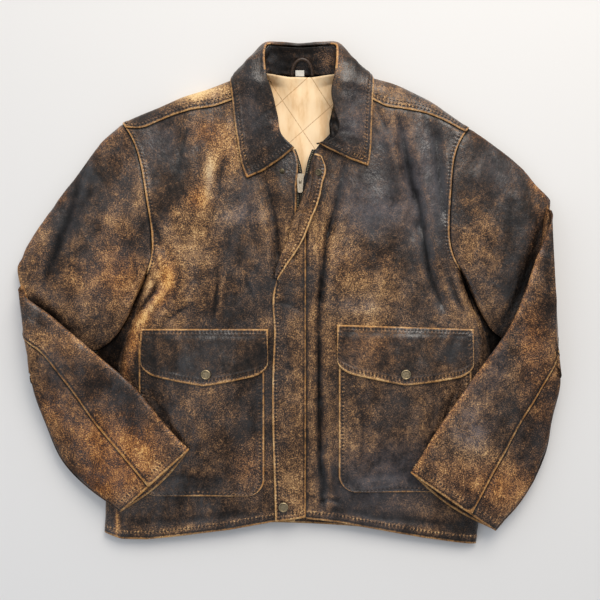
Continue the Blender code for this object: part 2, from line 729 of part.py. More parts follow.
def storm_flap_grid():
    rows = []
    for y, seam_x, fold_x, edge_x, lift in STORM_FLAP:
        seam, fold, edge = storm_flap_section(y, seam_x, fold_x, edge_x, lift)
        low_x = mix(seam.x, fold.x, 0.4)
        low = Vector((low_x, y, body_top(low_x, y) + LEATHER + LAY_GAP + 0.4))
        over = Vector((mix(fold.x, edge.x, 0.3), y - 1, mix(fold.z + lift / 2, edge.z, 0.4)))
        over_2 = Vector((mix(fold.x, edge.x, 0.65), y - 2, mix(fold.z + lift / 2, edge.z, 0.7)))
        rows.append([seam, low, fold, over, over_2, edge])
    for y, edge_x in STORM_FLAP_LOW:
        line = []
        for share in (0.0, 0.22, 0.42, 0.62, 0.82, 1.0):
            x = mix(24.7, edge_x, share)
            level = y + (STORM_FLAP_FOOT_RISE * (1 - share) if y < -300 else 0)
            height = body_top(x, level) + (LEATHER + LAY_GAP) * smooth_step(share * 2.6)
            line.append(Vector((x, level, height + (0.0 if share == 0 else LEATHER))))
        rows.append(line)
    return rows


def build_socket(grid):
    """The placket's socket, on the turned-back end of the storm flap."""
    upper, lower = grid[1], grid[2]
    centre = upper[4].lerp(lower[4], 0.35)
    normal = (upper[5] - upper[3]).cross(upper[4] - lower[4]).normalized()
    lathe("snap_socket", centre + normal * (LEATHER + 0.6), normal, SOCKET_PROFILE, "brass", 12)


def build_tapes():
    """Two tapes that meet under the zip's teeth and part above the slider."""
    rows_y = (-336, -278, -225, -165, -110, -60, -18, 32, 64, 97, 150, 168, 184, 200, 214)
    for name, side in (("zip_tape_left", -1), ("zip_tape_right", 1)):
        rows = []
        for y in rows_y:
            open_share = max(0.0, (y - 166) / 48)
            spread = 0.6 + (8.0 if side < 0 else 18.0) * open_share ** 1.2
            inner_x = CENTRE_LINE + side * spread
            outer_x = inner_x + side * TAPE_WIDTH
            height = -LEATHER - TAPE_DROP
            line = [Vector((x, y, body_top(x, y) + height)) for x in
                    (min(inner_x, outer_x), (inner_x + outer_x) / 2, max(inner_x, outer_x))]
            rows.append(line)
        panel(name, rows, TAPE_WALL, "tape")


# ---- pockets and flaps ----
def pocket_puff(x, y, left, right, foot):
    aside, above = PUFF_REACH
    return POCKET_PUFF * smooth_step(min(x - left, right - x) / aside) * smooth_step((y - foot) / above)


def pocket_grid(left, right, top, foot, radius):
    rows_y = [top, top - 40, top - 90, top - 140, top - 190]
    rows_y += [foot + radius * (1 - math.sin(math.radians(a))) for a in (0, 30, 60, 90)]
    grid = []
    for y in rows_y:
        tuck = 0.0
        if y < foot + radius:
            tuck = radius - math.sqrt(max(radius ** 2 - (foot + radius - y) ** 2, 0))
            tuck = min(tuck, radius * 0.9)
        line = []
        for share in (0, 0.06, 0.2, 0.4, 0.6, 0.8, 0.94, 1):
            x = mix(left + tuck, right - tuck, share)
            puff = pocket_puff(x, y, left, right, foot)
            line.append(Vector((x, y, body_top(x, y) + LAY_GAP + LEATHER + puff)))
        grid.append(line)
    return grid[::-1]


def flap_grid(left, right, top, side_y, point_y, pocket):
    middle = (left + right) / 2
    half = (right - left) / 2
    grid = []
    columns = (0, 0.05, 0.16, 0.33, 0.5, 0.67, 0.84, 0.95, 1)
    for down in (0, 0.09, 0.19, 0.5, 0.8, 1):
        line = []
        for share in columns:
            x = mix(left, right, share)
            out = abs(x - middle) / half
            foot = mix(point_y, side_y - 17, out ** 1.3)
            corner = max(0.0, (out - 0.86) / 0.14)
            foot += (1 - math.sqrt(1 - corner ** 2)) * 17
            y = mix(top, foot, down)
            puff = pocket_puff(x, y, pocket[1], pocket[2], pocket[4])
            over = smooth_step((top - y) / 14)
            rise = LAY_GAP + LEATHER + (puff + LEATHER + LAY_GAP + 0.8) * over
            line.append(Vector((x, y, body_top(x, y) + rise)))
        grid.append(line)
    return grid[::-1]


# ---- hardware ----
def lathe(name, centre, normal, profile, finish, facets=16):
    """Turned piece from (radius, height) pairs that start and end on the axis."""
    build = bmesh.new()
    rings = []
    for radius, height in profile:
        if radius == 0:
            rings.append([build.verts.new((0, 0, height * MM))])
        else:
            rings.append([build.verts.new((radius * MM * math.cos(2 * math.pi * k / facets),
                                           radius * MM * math.sin(2 * math.pi * k / facets),
                                           height * MM)) for k in range(facets)])
    for lower, upper in zip(rings, rings[1:]):
        for k in range(facets):
            corners = [lower[k % len(lower)], lower[(k + 1) % len(lower)],
                       upper[(k + 1) % len(upper)], upper[k % len(upper)]]
            unique = list(dict.fromkeys(corners))
            if len(unique) > 2:
                build.faces.new(unique)
    bmesh.ops.recalc_face_normals(build, faces=build.faces[:])
    mesh = bpy.data.meshes.new(name)
    build.to_mesh(mesh)
    build.free()
    made = add_object(name, mesh, finish, 35)
    made.rotation_euler = Vector((0, 0, 1)).rotation_difference(normal).to_euler()
    made.location = centre * MM
    return made


CAP_PROFILE = ((0, 0), (SNAP_RADIUS, 0), (SNAP_RADIUS, 1.2), (SNAP_RADIUS - 0.9, 2.1), (4.0, 2.7), (0, 2.9))
STUD_PROFILE = ((0, 0), (3.6, 0), (3.6, 0.8), (1.9, 1.1), (1.9, 2.4), (0, 2.8))
SOCKET_PROFILE = ((0, 0), (5.0, 0), (5.0, 1.2), (4.0, 1.7), (2.6, 1.5), (2.4, 0.8), (0, 0.8))


def slab(name, corners_low, corners_high, finish):
    """Closed solid between two rings of points of the same count."""
    build = bmesh.new()
    low = [build.verts.new(p * MM) for p in corners_low]
    high = [build.verts.new(p * MM) for p in corners_high]
    build.faces.new(low[::-1])
    build.faces.new(high)
    for k in range(len(low)):
        n = (k + 1) % len(low)
        build.faces.new((low[k], low[n], high[n], high[k]))
    bmesh.ops.recalc_face_normals(build, faces=build.faces[:])
    mesh = bpy.data.meshes.new(name)
    build.to_mesh(mesh)
    build.free()
    return add_object(name, mesh, finish, 30)


def cut_profile(name, profile_low, profile_high, finish, parts=()):
    """A lofted profile with other solids joined to it."""
    made = slab(name, profile_low, profile_high, finish)
    for part in parts:
        part.hide_render = True
        part.display_type = "WIRE"
        join = made.modifiers.new("join", "BOOLEAN")
        join.operation = "UNION"
        join.object = part
    return made


SLIDER_Y = (163.5, 177.5)       # lower and upper end of the zip's slider
SLIDER_HALF = (4.6, 5.4)        # half its width there
SLIDER_CORE = (0.3, 0.75)       # half the wedge between the tapes there
SLIDER_PLATE = 1.6
CROWN_HALF = 1.2                # half width of the loop that holds the tab
CROWN_LEG = (1.5, 2.7)          # the loop's legs, from the pivot
PIVOT_RISE = 1.45               # pivot above the slider's plate
PIVOT_Y = 168.0


def slider_levels():
    tape_top = body_top(CENTRE_LINE, PIVOT_Y) - LEATHER - TAPE_DROP
    return tape_top - TAPE_WALL - 0.7, tape_top + 1.2


def slider_profile(y, half, core):
    low, high = slider_levels()
    flat = ((-half, high + SLIDER_PLATE), (-half, high), (-core, high), (-core, low), (-half, low),
            (-half, low - SLIDER_PLATE), (half, low - SLIDER_PLATE), (half, low), (core, low),
            (core, high), (half, high), (half, high + SLIDER_PLATE))
    return [Vector((CENTRE_LINE + x, y, z)) for x, z in flat]


def build_slider():
    plate_top = slider_levels()[1] + SLIDER_PLATE
    near, far = CROWN_LEG
    roof = PIVOT_RISE * 2
    outline = ((-far, -0.5), (-far, roof + 1.2), (far, roof + 1.2), (far, -0.5), (near, -0.5),
               (near, roof), (-near, roof), (-near, -0.5))
    sides = [[Vector((CENTRE_LINE + x, PIVOT_Y + y, plate_top + z)) for y, z in outline]
             for x in (-CROWN_HALF, CROWN_HALF)]
    crown = slab("zip_slider_crown", *sides, "brass")
    profiles = [slider_profile(y, half, core) for y, half, core in zip(SLIDER_Y, SLIDER_HALF, SLIDER_CORE)]
    cut_profile("zip_slider", *profiles, "brass", [crown])
    return plate_top + PIVOT_RISE


def build_pull_tab(pivot_z):
    """A plate with a slot that the slider's loop passes through; its origin is on the pivot."""
    half = TAB_WIDTH / 2
    outer = ((0.8, -half + 0.8), (0.8, half - 0.8), (0, half), (-6, half), (-TAB_LENGTH + 2, half - 0.6),
             (-TAB_LENGTH, half - 2), (-TAB_LENGTH, -half + 2), (-TAB_LENGTH + 2, -half + 0.6),
             (-6, -half), (0, -half))
    slot = ((-0.8, -1.2), (-0.8, 1.2), (-0.8, 2.1), (-3, 2.1), (-5.6, 2.1), (-5.6, 1.2), (-5.6, -1.2),
            (-5.6, -2.1), (-3, -2.1), (-0.8, -2.1))
    build = bmesh.new()
    loops = [[build.verts.new(Vector((x, y, z)) * MM) for y, x in ring]
             for z in (-0.7, 0.7) for ring in (outer, slot)]
    low_outer, low_slot, high_outer, high_slot = loops
    count = len(outer)
    for k in range(count):
        n = (k + 1) % count
        build.faces.new((low_outer[k], low_outer[n], low_slot[n], low_slot[k]))
        build.faces.new((high_outer[k], high_slot[k], high_slot[n], high_outer[n]))
        build.faces.new((low_outer[k], high_outer[k], high_outer[n], low_outer[n]))
        build.faces.new((low_slot[k], low_slot[n], high_slot[n], high_slot[k]))
    bmesh.ops.recalc_face_normals(build, faces=build.faces[:])
    mesh = bpy.data.meshes.new("zip_pull_tab")
    build.to_mesh(mesh)
    build.free()
    made = add_object("zip_pull_tab", mesh, "brass", 30)
    made.location = Vector((CENTRE_LINE, PIVOT_Y, pivot_z)) * MM


# ---- lining, loop and tab at the neck ----
LINING_SIDE_COLUMNS = 2     # the lining stops this many of the back's columns in from its sides
LINING_HEM = 0.35           # and this share of the back's first section up from the hem


def build_lining():
    """The lining follows the back's inner face, point by point."""
    inner = shifted(back_grid(), LEATHER)
    rows = inner[:len(inner) - len(SHOULDER_STEPS) + 1]
    rows[0] = [a.lerp(b, LINING_HEM) for a, b in zip(rows[0], rows[1])]
    kept = [line[LINING_SIDE_COLUMNS:-LINING_SIDE_COLUMNS] for line in rows]
    return panel("lining_back", shifted(kept, LAY_GAP + LINING_WALL), LINING_WALL, "lining")


STAND_FOOT_Y = 327.0
STAND_FOOT_Z = 7.1
STAND_SLOPE = 0.42


def stand_height(y):
    """Height of the stand's face at the middle of the back."""
    return STAND_FOOT_Z + (y - STAND_FOOT_Y) * STAND_SLOPE


def build_hanger_loop():
    """A leather cord bent to an arch, its feet at the neck seam."""
    radius, facets = 1.5, 8
    spine = []
    for k in range(13):
        angle = math.pi * k / 12
        y = STAND_FOOT_Y + 1.5 + 24 * math.sin(angle)
        spine.append(Vector((18.9 - 12.9 * math.cos(angle), y, stand_height(y) + radius + 1.0)))
    rows = []
    for k, point in enumerate(spine):
        direction = (spine[min(k + 1, 12)] - spine[max(k - 1, 0)]).normalized()
        up = Vector((0, -STAND_SLOPE, 1)).normalized()
        out = direction.cross(up).normalized()
        rows.append([point + (out * math.cos(a) + up * math.sin(a)) * radius
                     for a in (2 * math.pi * n / facets for n in range(facets))])
    build = bmesh.new()
    rings = [[build.verts.new(p * MM) for p in row] for row in rows]
    for lower, upper in zip(rings, rings[1:]):
        for k in range(facets):
            n = (k + 1) % facets
            build.faces.new((lower[k], lower[n], upper[n], upper[k]))
    build.faces.new(rings[0][::-1])
    build.faces.new(rings[-1])
    bmesh.ops.recalc_face_normals(build, faces=build.faces[:])
    mesh = bpy.data.meshes.new("hanger_loop")
    build.to_mesh(mesh)
    build.free()
    add_object("hanger_loop", mesh, "collar_leather", 50)


def build_size_tab():
    rows = [[Vector((x, y, stand_height(y) + 2.0)) for x in (9, 15.5, 22)] for y in (327.5, 331, 335.5)]
    return panel("size_tab", rows, 0.8, "tab")


# ---- all pieces ----
def build_jacket():
    build_back()
    build_lining()
    build_fronts()
    build_sleeve("sleeve_left", SLEEVE_LEFT, ARMHOLE_LEFT, -1, ELBOW_SEAM_LEFT)
    build_sleeve("sleeve_right", SLEEVE_RIGHT, ARMHOLE_RIGHT, 1, ELBOW_SEAM_RIGHT)
    build_collar_fall()
    build_collar_stand()
    flap = storm_flap_grid()
    panel("storm_flap", flap, LEATHER, "leather")
    build_socket(flap)
    build_tapes()
    for name, left_x, right_x, top, foot, radius in POCKETS:
        panel(name, pocket_grid(left_x, right_x, top, foot, radius), LEATHER, "leather")
    for (name, left_x, right_x, top, side_y, point_y), pocket in zip(FLAPS, POCKETS):
        panel(name, flap_grid(left_x, right_x, top, side_y, point_y, pocket), LEATHER, "leather")
    flap_face = LAY_GAP * 2 + LEATHER * 2 + POCKET_PUFF + 0.8 + 0.5
    up = Vector((0, 0, 1))
    for name, x, y in (("snap_cap_left", -123.5, -121), ("snap_cap_right", 172.5, -121)):
        lathe(name, Vector((x, y, body_top(x, y) + flap_face)), up, CAP_PROFILE, "brass")
    x, y = -9.0, -320.0
    lathe("snap_cap_placket", Vector((x, y, body_top(x, y) + LEATHER * 2 + LAY_GAP + 0.6)), up,
          CAP_PROFILE, "brass")
    x, y = -11.0, 181.0
    lathe("snap_stud", Vector((x, y, body_top(x, y) + 0.6)), up, STUD_PROFILE, "brass", 12)
    pivot_z = build_slider()
    build_pull_tab(pivot_z)
    build_hanger_loop()
    build_size_tab()


clear_scene()
build_jacket()
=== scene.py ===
import math

import bpy
import numpy as np
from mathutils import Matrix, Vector


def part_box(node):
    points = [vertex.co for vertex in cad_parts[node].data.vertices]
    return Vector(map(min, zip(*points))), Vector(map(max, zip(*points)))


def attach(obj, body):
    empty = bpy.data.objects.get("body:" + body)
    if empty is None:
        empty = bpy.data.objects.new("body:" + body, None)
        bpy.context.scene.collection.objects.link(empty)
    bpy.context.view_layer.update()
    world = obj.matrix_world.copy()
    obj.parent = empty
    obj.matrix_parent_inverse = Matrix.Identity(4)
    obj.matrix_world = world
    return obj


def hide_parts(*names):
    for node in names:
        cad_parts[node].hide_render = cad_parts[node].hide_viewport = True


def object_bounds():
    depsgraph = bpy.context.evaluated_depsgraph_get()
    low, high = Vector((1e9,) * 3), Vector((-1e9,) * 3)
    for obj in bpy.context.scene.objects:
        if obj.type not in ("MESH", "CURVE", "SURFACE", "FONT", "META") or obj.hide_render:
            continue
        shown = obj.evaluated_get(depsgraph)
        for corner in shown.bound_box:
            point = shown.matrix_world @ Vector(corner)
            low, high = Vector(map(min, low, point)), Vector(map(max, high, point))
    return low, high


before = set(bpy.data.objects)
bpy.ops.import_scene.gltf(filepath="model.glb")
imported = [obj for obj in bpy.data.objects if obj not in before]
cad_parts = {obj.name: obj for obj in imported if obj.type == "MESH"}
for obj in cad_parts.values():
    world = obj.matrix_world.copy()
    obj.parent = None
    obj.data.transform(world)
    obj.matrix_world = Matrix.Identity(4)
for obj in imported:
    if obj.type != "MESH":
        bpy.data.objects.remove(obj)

cadLow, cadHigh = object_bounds()
body = "jacket"  # everything but the zip's pull tab rides on this body
mm = 0.001  # all tables below are in millimetres
print("frame loaded")


# small sums used everywhere
def mix(a, b, share):
    return a + (b - a) * share


def smoothStep(value):
    value = np.clip(value, 0.0, 1.0)
    return value * value * (3 - 2 * value)


def bump(distance, width):
    return np.exp(-(distance / width) ** 2)


def unit(vectors):  # each vector at length one
    vectors = np.asarray(vectors, float)
    return vectors / np.maximum(np.linalg.norm(vectors, axis=-1, keepdims=True), 1e-9)


def along(points):  # length along a line, or along the rows of a grid
    steps = np.linalg.norm(np.diff(np.asarray(points, float), axis=0), axis=-1)
    if steps.ndim > 1:
        steps = steps.mean(axis=1)
    return np.concatenate([[0.0], np.cumsum(steps)])


def through(values, at, wanted):  # a smooth curve through values that stand at the given places
    values, at, wanted = (np.asarray(v, float) for v in (values, at, wanted))
    slope = np.gradient(values, at, axis=0)
    i = np.clip(np.searchsorted(at, wanted, side="right") - 1, 0, len(at) - 2)
    shape = (-1,) + (1,) * (values.ndim - 1)
    step = (at[i + 1] - at[i]).reshape(shape)
    t = ((wanted - at[i]) / (at[i + 1] - at[i])).reshape(shape)
    return ((2 * t**3 - 3 * t**2 + 1) * values[i] + (t**3 - 2 * t**2 + t) * step * slope[i]
            + (3 * t**2 - 2 * t**3) * values[i + 1] + (t**3 - t**2) * step * slope[i + 1])


def smoothLine(points, spacing):
    points = np.asarray(points, float)
    at = along(points)
    return through(points, at, np.linspace(0, at[-1], max(3, int(at[-1] / spacing))))


def refine(grid, rows, columns):  # a fine grid through a coarse one
    grid = np.asarray(grid, float)
    at = along(grid)
    grid = through(grid, at, np.linspace(0, at[-1], rows))
    grid = grid.swapaxes(0, 1)
    at = along(grid)
    return through(grid, at, np.linspace(0, at[-1], columns)).swapaxes(0, 1)


def pathDistance(x, y, path):  # distance to a path, and the share of its length at the nearest point
    best, where = np.full(np.shape(x), 1e9), np.zeros(np.shape(x))
    at = along(path)
    for k in range(len(path) - 1):
        (ax, ay), (bx, by) = path[k][:2], path[k + 1][:2]
        dx, dy = bx - ax, by - ay
        t = np.clip(((x - ax) * dx + (y - ay) * dy) / (dx * dx + dy * dy), 0, 1)
        away = np.hypot(x - ax - dx * t, y - ay - dy * t)
        where = np.where(away < best, mix(at[k], at[k + 1], t), where)
        best = np.minimum(best, away)
    return best, where / at[-1]


def ripple(x, y, length, seed):  # soft uneven waves, about one high
    draw = np.random.default_rng(seed)
    total = 0.0
    for _ in range(7):
        angle, phase = draw.uniform(0, 2 * math.pi, 2)
        wave = 2 * math.pi / (length * draw.uniform(0.7, 1.5))
        total = total + np.sin((x * math.cos(angle) + y * math.sin(angle)) * wave + phase)
    return total / 4


def waves(x, y, parts):  # height, size and seed of each
    return sum(height * ripple(x, y, size, seed) for height, size, seed in parts)


# form of the jacket's body, the same as its solids
bodyForm = {
    "edgeHeight": 8.0,  # the rounded side and shoulder edges, above the floor
    "edgeRound": 22.0,  # the top face reaches its height this far in
    "underRound": 11.0,
    "halfWidth": 265.0,
    "seamGap": 0.3,
    "wall": 2.0,  # leather
    "calmReach": 26,  # creases fade out this near the rounded sides
    "waves": ((0.7, 90, 3),), "longWaves": ((0.35, 34, 5),),  # height, size and seed
    # y, height of the top face at the left, in the middle, at the right
    "heights": ((-380, 15, 18, 15), (-300, 17, 21, 17), (-180, 19, 24, 19), (-60, 21, 27, 21),
                (30, 24, 30, 24), (140, 28, 32, 28), (230, 28, 31, 28), (340, 27, 29, 27)),
    # x0, y0, x1, y1, half width, height
    "folds": ((82, 187, 59, 94, 16, -3.5), (59, 94, 47, -9, 15, -3.5), (47, -9, 44, -161, 12, -2.5),
              (44, -161, 46, -300, 11, -2.0), (168, 240, 192, 100, 17, -4.0),
              (192, 100, 226, -12, 16, -3.5), (221, 230, 230, 120, 12, -2.0),
              (148, 235, 168, 100, 16, 2.5), (-196, 50, -214, 0, 14, 3.5),
              (-190, 120, -205, 60, 16, -2.5), (-116, 200, -130, 110, 20, 2.5),
              (-33, 165, -18, 60, 12, -3.0)),
    "neckLift": (3.6, (16, 345), (98, 46)),  # rise, centre and radii
}
outlines = {
    "shoulderLeft": ((-38, 331), (-60, 330), (-86, 322), (-124, 307.5), (-161, 296), (-196, 280.5),
                     (-222, 270), (-252, 256), (-300, 205)),
    "shoulderRight": ((71, 331), (95, 333), (125, 325), (165, 313), (188, 302), (217, 287), (237, 273),
                      (271, 249), (330, 205)),
    "sideLeft": ((-216, 26), (-221, 5), (-232, -30), (-242, -60), (-251, -90), (-258, -130),
                 (-268, -200), (-277, -290), (-279, -362)),
    "sideRight": ((259, 33), (262, 19), (270, -5), (277, -22), (289, -44), (297, -70), (302, -105),
                  (301, -170), (295, -260), (288, -335), (281, -379)),
}
outlines = {name: smoothLine(points, 9) for name, points in outlines.items()}
armholes = {  # underarm point, shoulder point, bow towards the body
    "left": ((-216, 26), (-252, 256), 21.0),
    "right": ((259, 33), (271, 249), -25.0),
}
ring = {
    "power": 2.5, "corners": 8, "seamCorner": 6,
    "topShares": (0.96, 0.985),  # the shoulder seam meets the armhole near its top
}
ringAngles = np.linspace(0, math.pi, ring["corners"] + 1)
cornerShares = (1 - np.sign(np.cos(ringAngles)) * np.abs(np.cos(ringAngles)) ** (2 / ring["power"])) / 2
cornerShares[6:8] = ring["topShares"]


def edgeDistance(x, y):
    return np.minimum.reduce([pathDistance(x, y, line)[0] for line in outlines.values()])


def rounding(distance, reach):
    gone = 1 - np.clip(distance / reach, 0, 1)
    return np.sqrt(1 - gone * gone)


def bodyTop(x, y):
    rows = np.array(bodyForm["heights"], float)
    k = np.clip(np.searchsorted(rows[:, 0], y) - 1, 0, len(rows) - 2)
    share = smoothStep((y - rows[k, 0]) / (rows[k + 1, 0] - rows[k, 0]))
    left, middle, right = (mix(rows[k, c], rows[k + 1, c], share) for c in (1, 2, 3))
    across = np.clip(x / bodyForm["halfWidth"], -1, 1)
    full = middle + (right - left) / 2 * across + ((left + right) / 2 - middle) * across**2
    for xa, ya, xb, yb, half, height in bodyForm["folds"]:
        away = pathDistance(x, y, ((xa, ya), (xb, yb)))[0]
        full = full + height * np.exp(-1.6 * (away / half) ** 2)
    low = bodyForm["edgeHeight"]
    return low + (full - low) * rounding(edgeDistance(x, y), bodyForm["edgeRound"])


def bodyUnder(x, y):
    rise = bodyForm["edgeHeight"] * (1 - rounding(edgeDistance(x, y), bodyForm["underRound"]))
    lift, centre, radius = bodyForm["neckLift"]
    away = np.hypot((x - centre[0]) / radius[0], (y - centre[1]) / radius[1])
    return np.maximum(rise, lift * smoothStep((1.35 - away) / 0.35))


def armholePoint(armhole, share):
    under, shoulder, bow = armhole
    share = np.asarray(share, float)
    belly = bow * (1 - np.abs(2 * share - 1) ** 4)
    return np.stack([mix(under[0], shoulder[0], share) + belly, mix(under[1], shoulder[1], share)], axis=-1)


# creases placed one by one: path as x and y in turn, half width, height
frontCreases = (
    ((81, 192, 73, 146, 60, 100, 53, 60, 50, 25, 45, -20, 40, -60), 5, -2.2),
    ((96, 175, 88, 130, 74, 92, 66, 40, 60, -20), 7, 1.6),
    ((165, 258, 174, 208, 182, 167, 197, 124, 203, 74, 213, 20, 229, -20, 240, -42), 7, -2.6),
    ((176, 258, 191, 205, 203, 150, 208, 96, 222, 46), 7, 1.7),
    ((148, 258, 158, 205, 168, 150, 176, 100), 8, 1.6), ((218, 250, 221, 195, 226, 150, 235, 109), 6, -1.9),
    ((232, 246, 234, 195, 238, 150), 5, 1.2), ((120, 120, 128, 60, 132, 0), 10, -0.9),
    ((-116, 200, -122, 165, -130, 120), 8, 1.6), ((-96, 205, -104, 160, -108, 120), 7, -1.2),
    ((-205, 76, -187, 42, -177, 26, -183, 5, -205, -20, -226, -47, -236, -82, -247, -120), 7, 2.6),
    ((-208, 30, -199, 12, -213, -10, -234, -38), 6, -2.6),
    ((-228, -20, -240, -50, -247, -84, -251, -115), 5, 1.6), ((-214, 120, -200, 96, -192, 66), 6, -1.6),
    ((-150, 0, -176, -16, -200, -40), 7, 1.3), ((-140, -14, -168, -30, -190, -48), 6, -1.0),
    ((-35, 169, -22, 118, -17, 73, -18, 40, -28, 2), 7, -1.9),
    ((-52, 160, -44, 120, -36, 70, -34, 20), 8, 1.2), ((-150, 250, -160, 215, -168, 175), 7, -1.2),
    ((42, -40, 45, -160, 48, -310), 6.5, -1.7), ((-105, 28, -109, 0, -114, -42), 3.5, -1.6),
    ((-97, 28, -100, 0, -105, -40), 4, 0.9), ((-66, 24, -58, 4, -50, -18), 4, -1.0),
    ((-184, -28, -166, -12, -149, 4), 5, -0.9), ((250, 30, 262, -8, 280, -40), 6, 1.6),
    ((236, 40, 246, 4, 262, -28), 6, -1.9), ((128, 290, 136, 262, 150, 235), 5, -1.5),
    ((150, 280, 156, 255, 160, 240), 4, 1.2), ((204, 268, 206, 246, 212, 226), 5, -1.3),
    ((-60, -330, -120, -338, -190, -344, -250, -342), 6, -1.0),
    ((70, -318, 120, -334, 190, -342, 262, -350), 6, -1.0), ((-259, -316, -259, -340, -257, -366), 2.6, 1.3),
    ((-264, -318, -264, -340, -263, -364), 2.4, -0.9), ((46, -250, 52, -280, 50, -312, 56, -336), 4, -1.7),
    ((60, -262, 63, -292, 61, -325), 4, 1.2), ((44, -316, 58, -309, 74, -313), 3, -1.3),
    ((50, -326, 66, -320, 84, -325), 4, 1.0), ((96, 60, 112, 40, 134, 34), 9, -0.9),
    ((100, 96, 124, 74, 150, 70), 10, 0.9), ((-70, 110, -88, 84, -92, 44), 9, -0.9),
    ((-46, 60, -66, 40, -80, 8), 8, 0.8), ((-100, 40, -128, 22, -150, 18), 8, -0.9),
    ((70, -20, 96, -28, 130, -22), 7, 0.9),
)


def creaseField(x, y, table):
    total = np.zeros(np.shape(x))
    for path, half, height in table:
        away, share = pathDistance(x, y, smoothLine(np.reshape(path, (-1, 2)), 12))
        taper = np.sqrt(np.clip(np.sin(math.pi * np.clip(share, 0.02, 0.98)), 0, 1))
        lip = 0.32 * bump(away - 1.9 * half, 0.8 * half)
        core = 0.35 * bump(away, 0.3 * half) if height < 0 else 0
        total += height * taper * (bump(away, half) + core - lip)
    return total


def frontFace(x, y):  # height of the fronts' outer face with its creases
    calm = smoothStep(edgeDistance(x, y) / bodyForm["calmReach"])
    soft = waves(x, y, bodyForm["waves"]) + waves(x * 1.3, y * 0.6, bodyForm["longWaves"])
    return bodyTop(x, y) + (creaseField(x, y, frontCreases) + soft) * calm


# meshes
def gridNormals(grid):
    down, across = np.gradient(grid, axis=0), np.gradient(grid, axis=1)
    return unit(np.cross(across, down))


def borderWays(grid):  # way along the surface to each border, and the place along it
    rows, columns = grid.shape[:2]
    downward, sideways = np.zeros((rows, columns)), np.zeros((rows, columns))
    downward[1:] = np.cumsum(np.linalg.norm(np.diff(grid, axis=0), axis=-1), axis=0)
    sideways[:, 1:] = np.cumsum(np.linalg.norm(np.diff(grid, axis=1), axis=-1), axis=1)
    ways = {"first": downward, "last": downward[-1:] - downward,
            "left": sideways, "right": sideways[:, -1:] - sideways}
    ends = {"first": along(grid[0])[None], "last": along(grid[-1])[None],
            "left": along(grid[:, 0])[:, None], "right": along(grid[:, -1])[:, None]}
    return ways, {name: np.broadcast_to(place, (rows, columns)) for name, place in ends.items()}


def borderDistance(grid, borders):
    ways = borderWays(grid)[0]
    return np.minimum.reduce([ways[name] for name in borders])


def rubbed(grid, reach=2):  # how far a point stands out from its surroundings, for worn ridges
    total = np.zeros(grid.shape)
    for axis in (0, 1):
        padded = np.pad(grid, [(reach, reach) if k == axis else (0, 0) for k in range(3)], mode="edge")
        size = grid.shape[axis]
        total += np.take(padded, range(size), axis) + np.take(padded, range(2 * reach, size + 2 * reach), axis)
    out = np.einsum("ijk,ijk->ij", grid - total / 4, gridNormals(grid))
    out[:reach] = out[-reach:] = 0
    out[:, :reach] = out[:, -reach:] = 0
    return out


def rimOf(rows, columns):  # the border's places in order, once round
    top = [(0, c) for c in range(columns)]
    right = [(r, columns - 1) for r in range(1, rows)]
    foot = [(rows - 1, c) for c in range(columns - 2, -1, -1)]
    left = [(r, 0) for r in range(rows - 2, 0, -1)]
    return np.array(top + right + foot + left)


def addMesh(name, points, faces, material):  # points in mm; the piece rides on the jacket's body
    mesh = bpy.data.meshes.new(name)
    mesh.from_pydata(np.asarray(points * mm).tolist(), [], faces)
    mesh.shade_smooth()
    mesh.materials.append(material)
    made = bpy.data.objects.new(name, mesh)
    bpy.context.scene.collection.objects.link(made)
    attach(made, body)
    return made


def tubeFaces(rings, sides):  # quads between rings of points, and a face at both ends
    corners = [(r * sides, n, (n + 1) % sides) for r in range(rings - 1) for n in range(sides)]
    quads = [(start + n, start + m, start + sides + m, start + sides + n) for start, n, m in corners]
    ends = [tuple(range(sides))[::-1], tuple(range((rings - 1) * sides, rings * sides))]
    return quads + ends


rimBelly, floorGap = 0.25, 0.1  # how far a wall's rim bellies out, of its thickness; least height, mm


def clothPiece(solid, grid, wall, material, values=None):
    # a closed wall that stands for its solid: the grid is its outer face, the rim bellies out a little.
    rows, columns = grid.shape[:2]
    normals = gridNormals(grid)
    inner = grid - normals * wall
    rim = rimOf(rows, columns)
    edge, under = grid[rim[:, 0], rim[:, 1]], inner[rim[:, 0], rim[:, 1]]
    neighbour = np.clip(rim, 1, [rows - 2, columns - 2])
    outward = unit(edge - grid[neighbour[:, 0], neighbour[:, 1]])
    middle = (edge + under) / 2 + outward * rimBelly * wall
    points = np.concatenate([grid.reshape(-1, 3), inner.reshape(-1, 3), middle])
    points[:, 2] = np.maximum(points[:, 2], floorGap)
    index = np.arange(rows * columns).reshape(rows, columns)
    a, b, c, d = index[:-1, :-1], index[:-1, 1:], index[1:, 1:], index[1:, :-1]
    quads = np.stack([a, b, c, d], axis=-1).reshape(-1, 4)
    back = quads[:, ::-1] + rows * columns
    border = index[rim[:, 0], rim[:, 1]]
    count = len(border)
    ringIndex = np.arange(count) + 2 * rows * columns
    n = np.roll(np.arange(count), -1)
    upper = np.stack([border, ringIndex, ringIndex[n], border[n]], axis=-1)
    lower = np.stack([ringIndex, border + rows * columns, (border + rows * columns)[n], ringIndex[n]], axis=-1)
    faces = np.concatenate([quads, back, upper, lower]).tolist()
    made = addMesh(f"{solid}_shell", points, faces, material)
    for key, field in (values or {}).items():
        field = np.broadcast_to(np.asarray(field, float), (rows, columns))
        flat = np.concatenate([field.ravel(), field.ravel(), field[rim[:, 0], rim[:, 1]]])
        made.data.attributes.new(key, "FLOAT", "POINT").data.foreach_set("value", flat.astype(np.float32))
    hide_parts(solid)


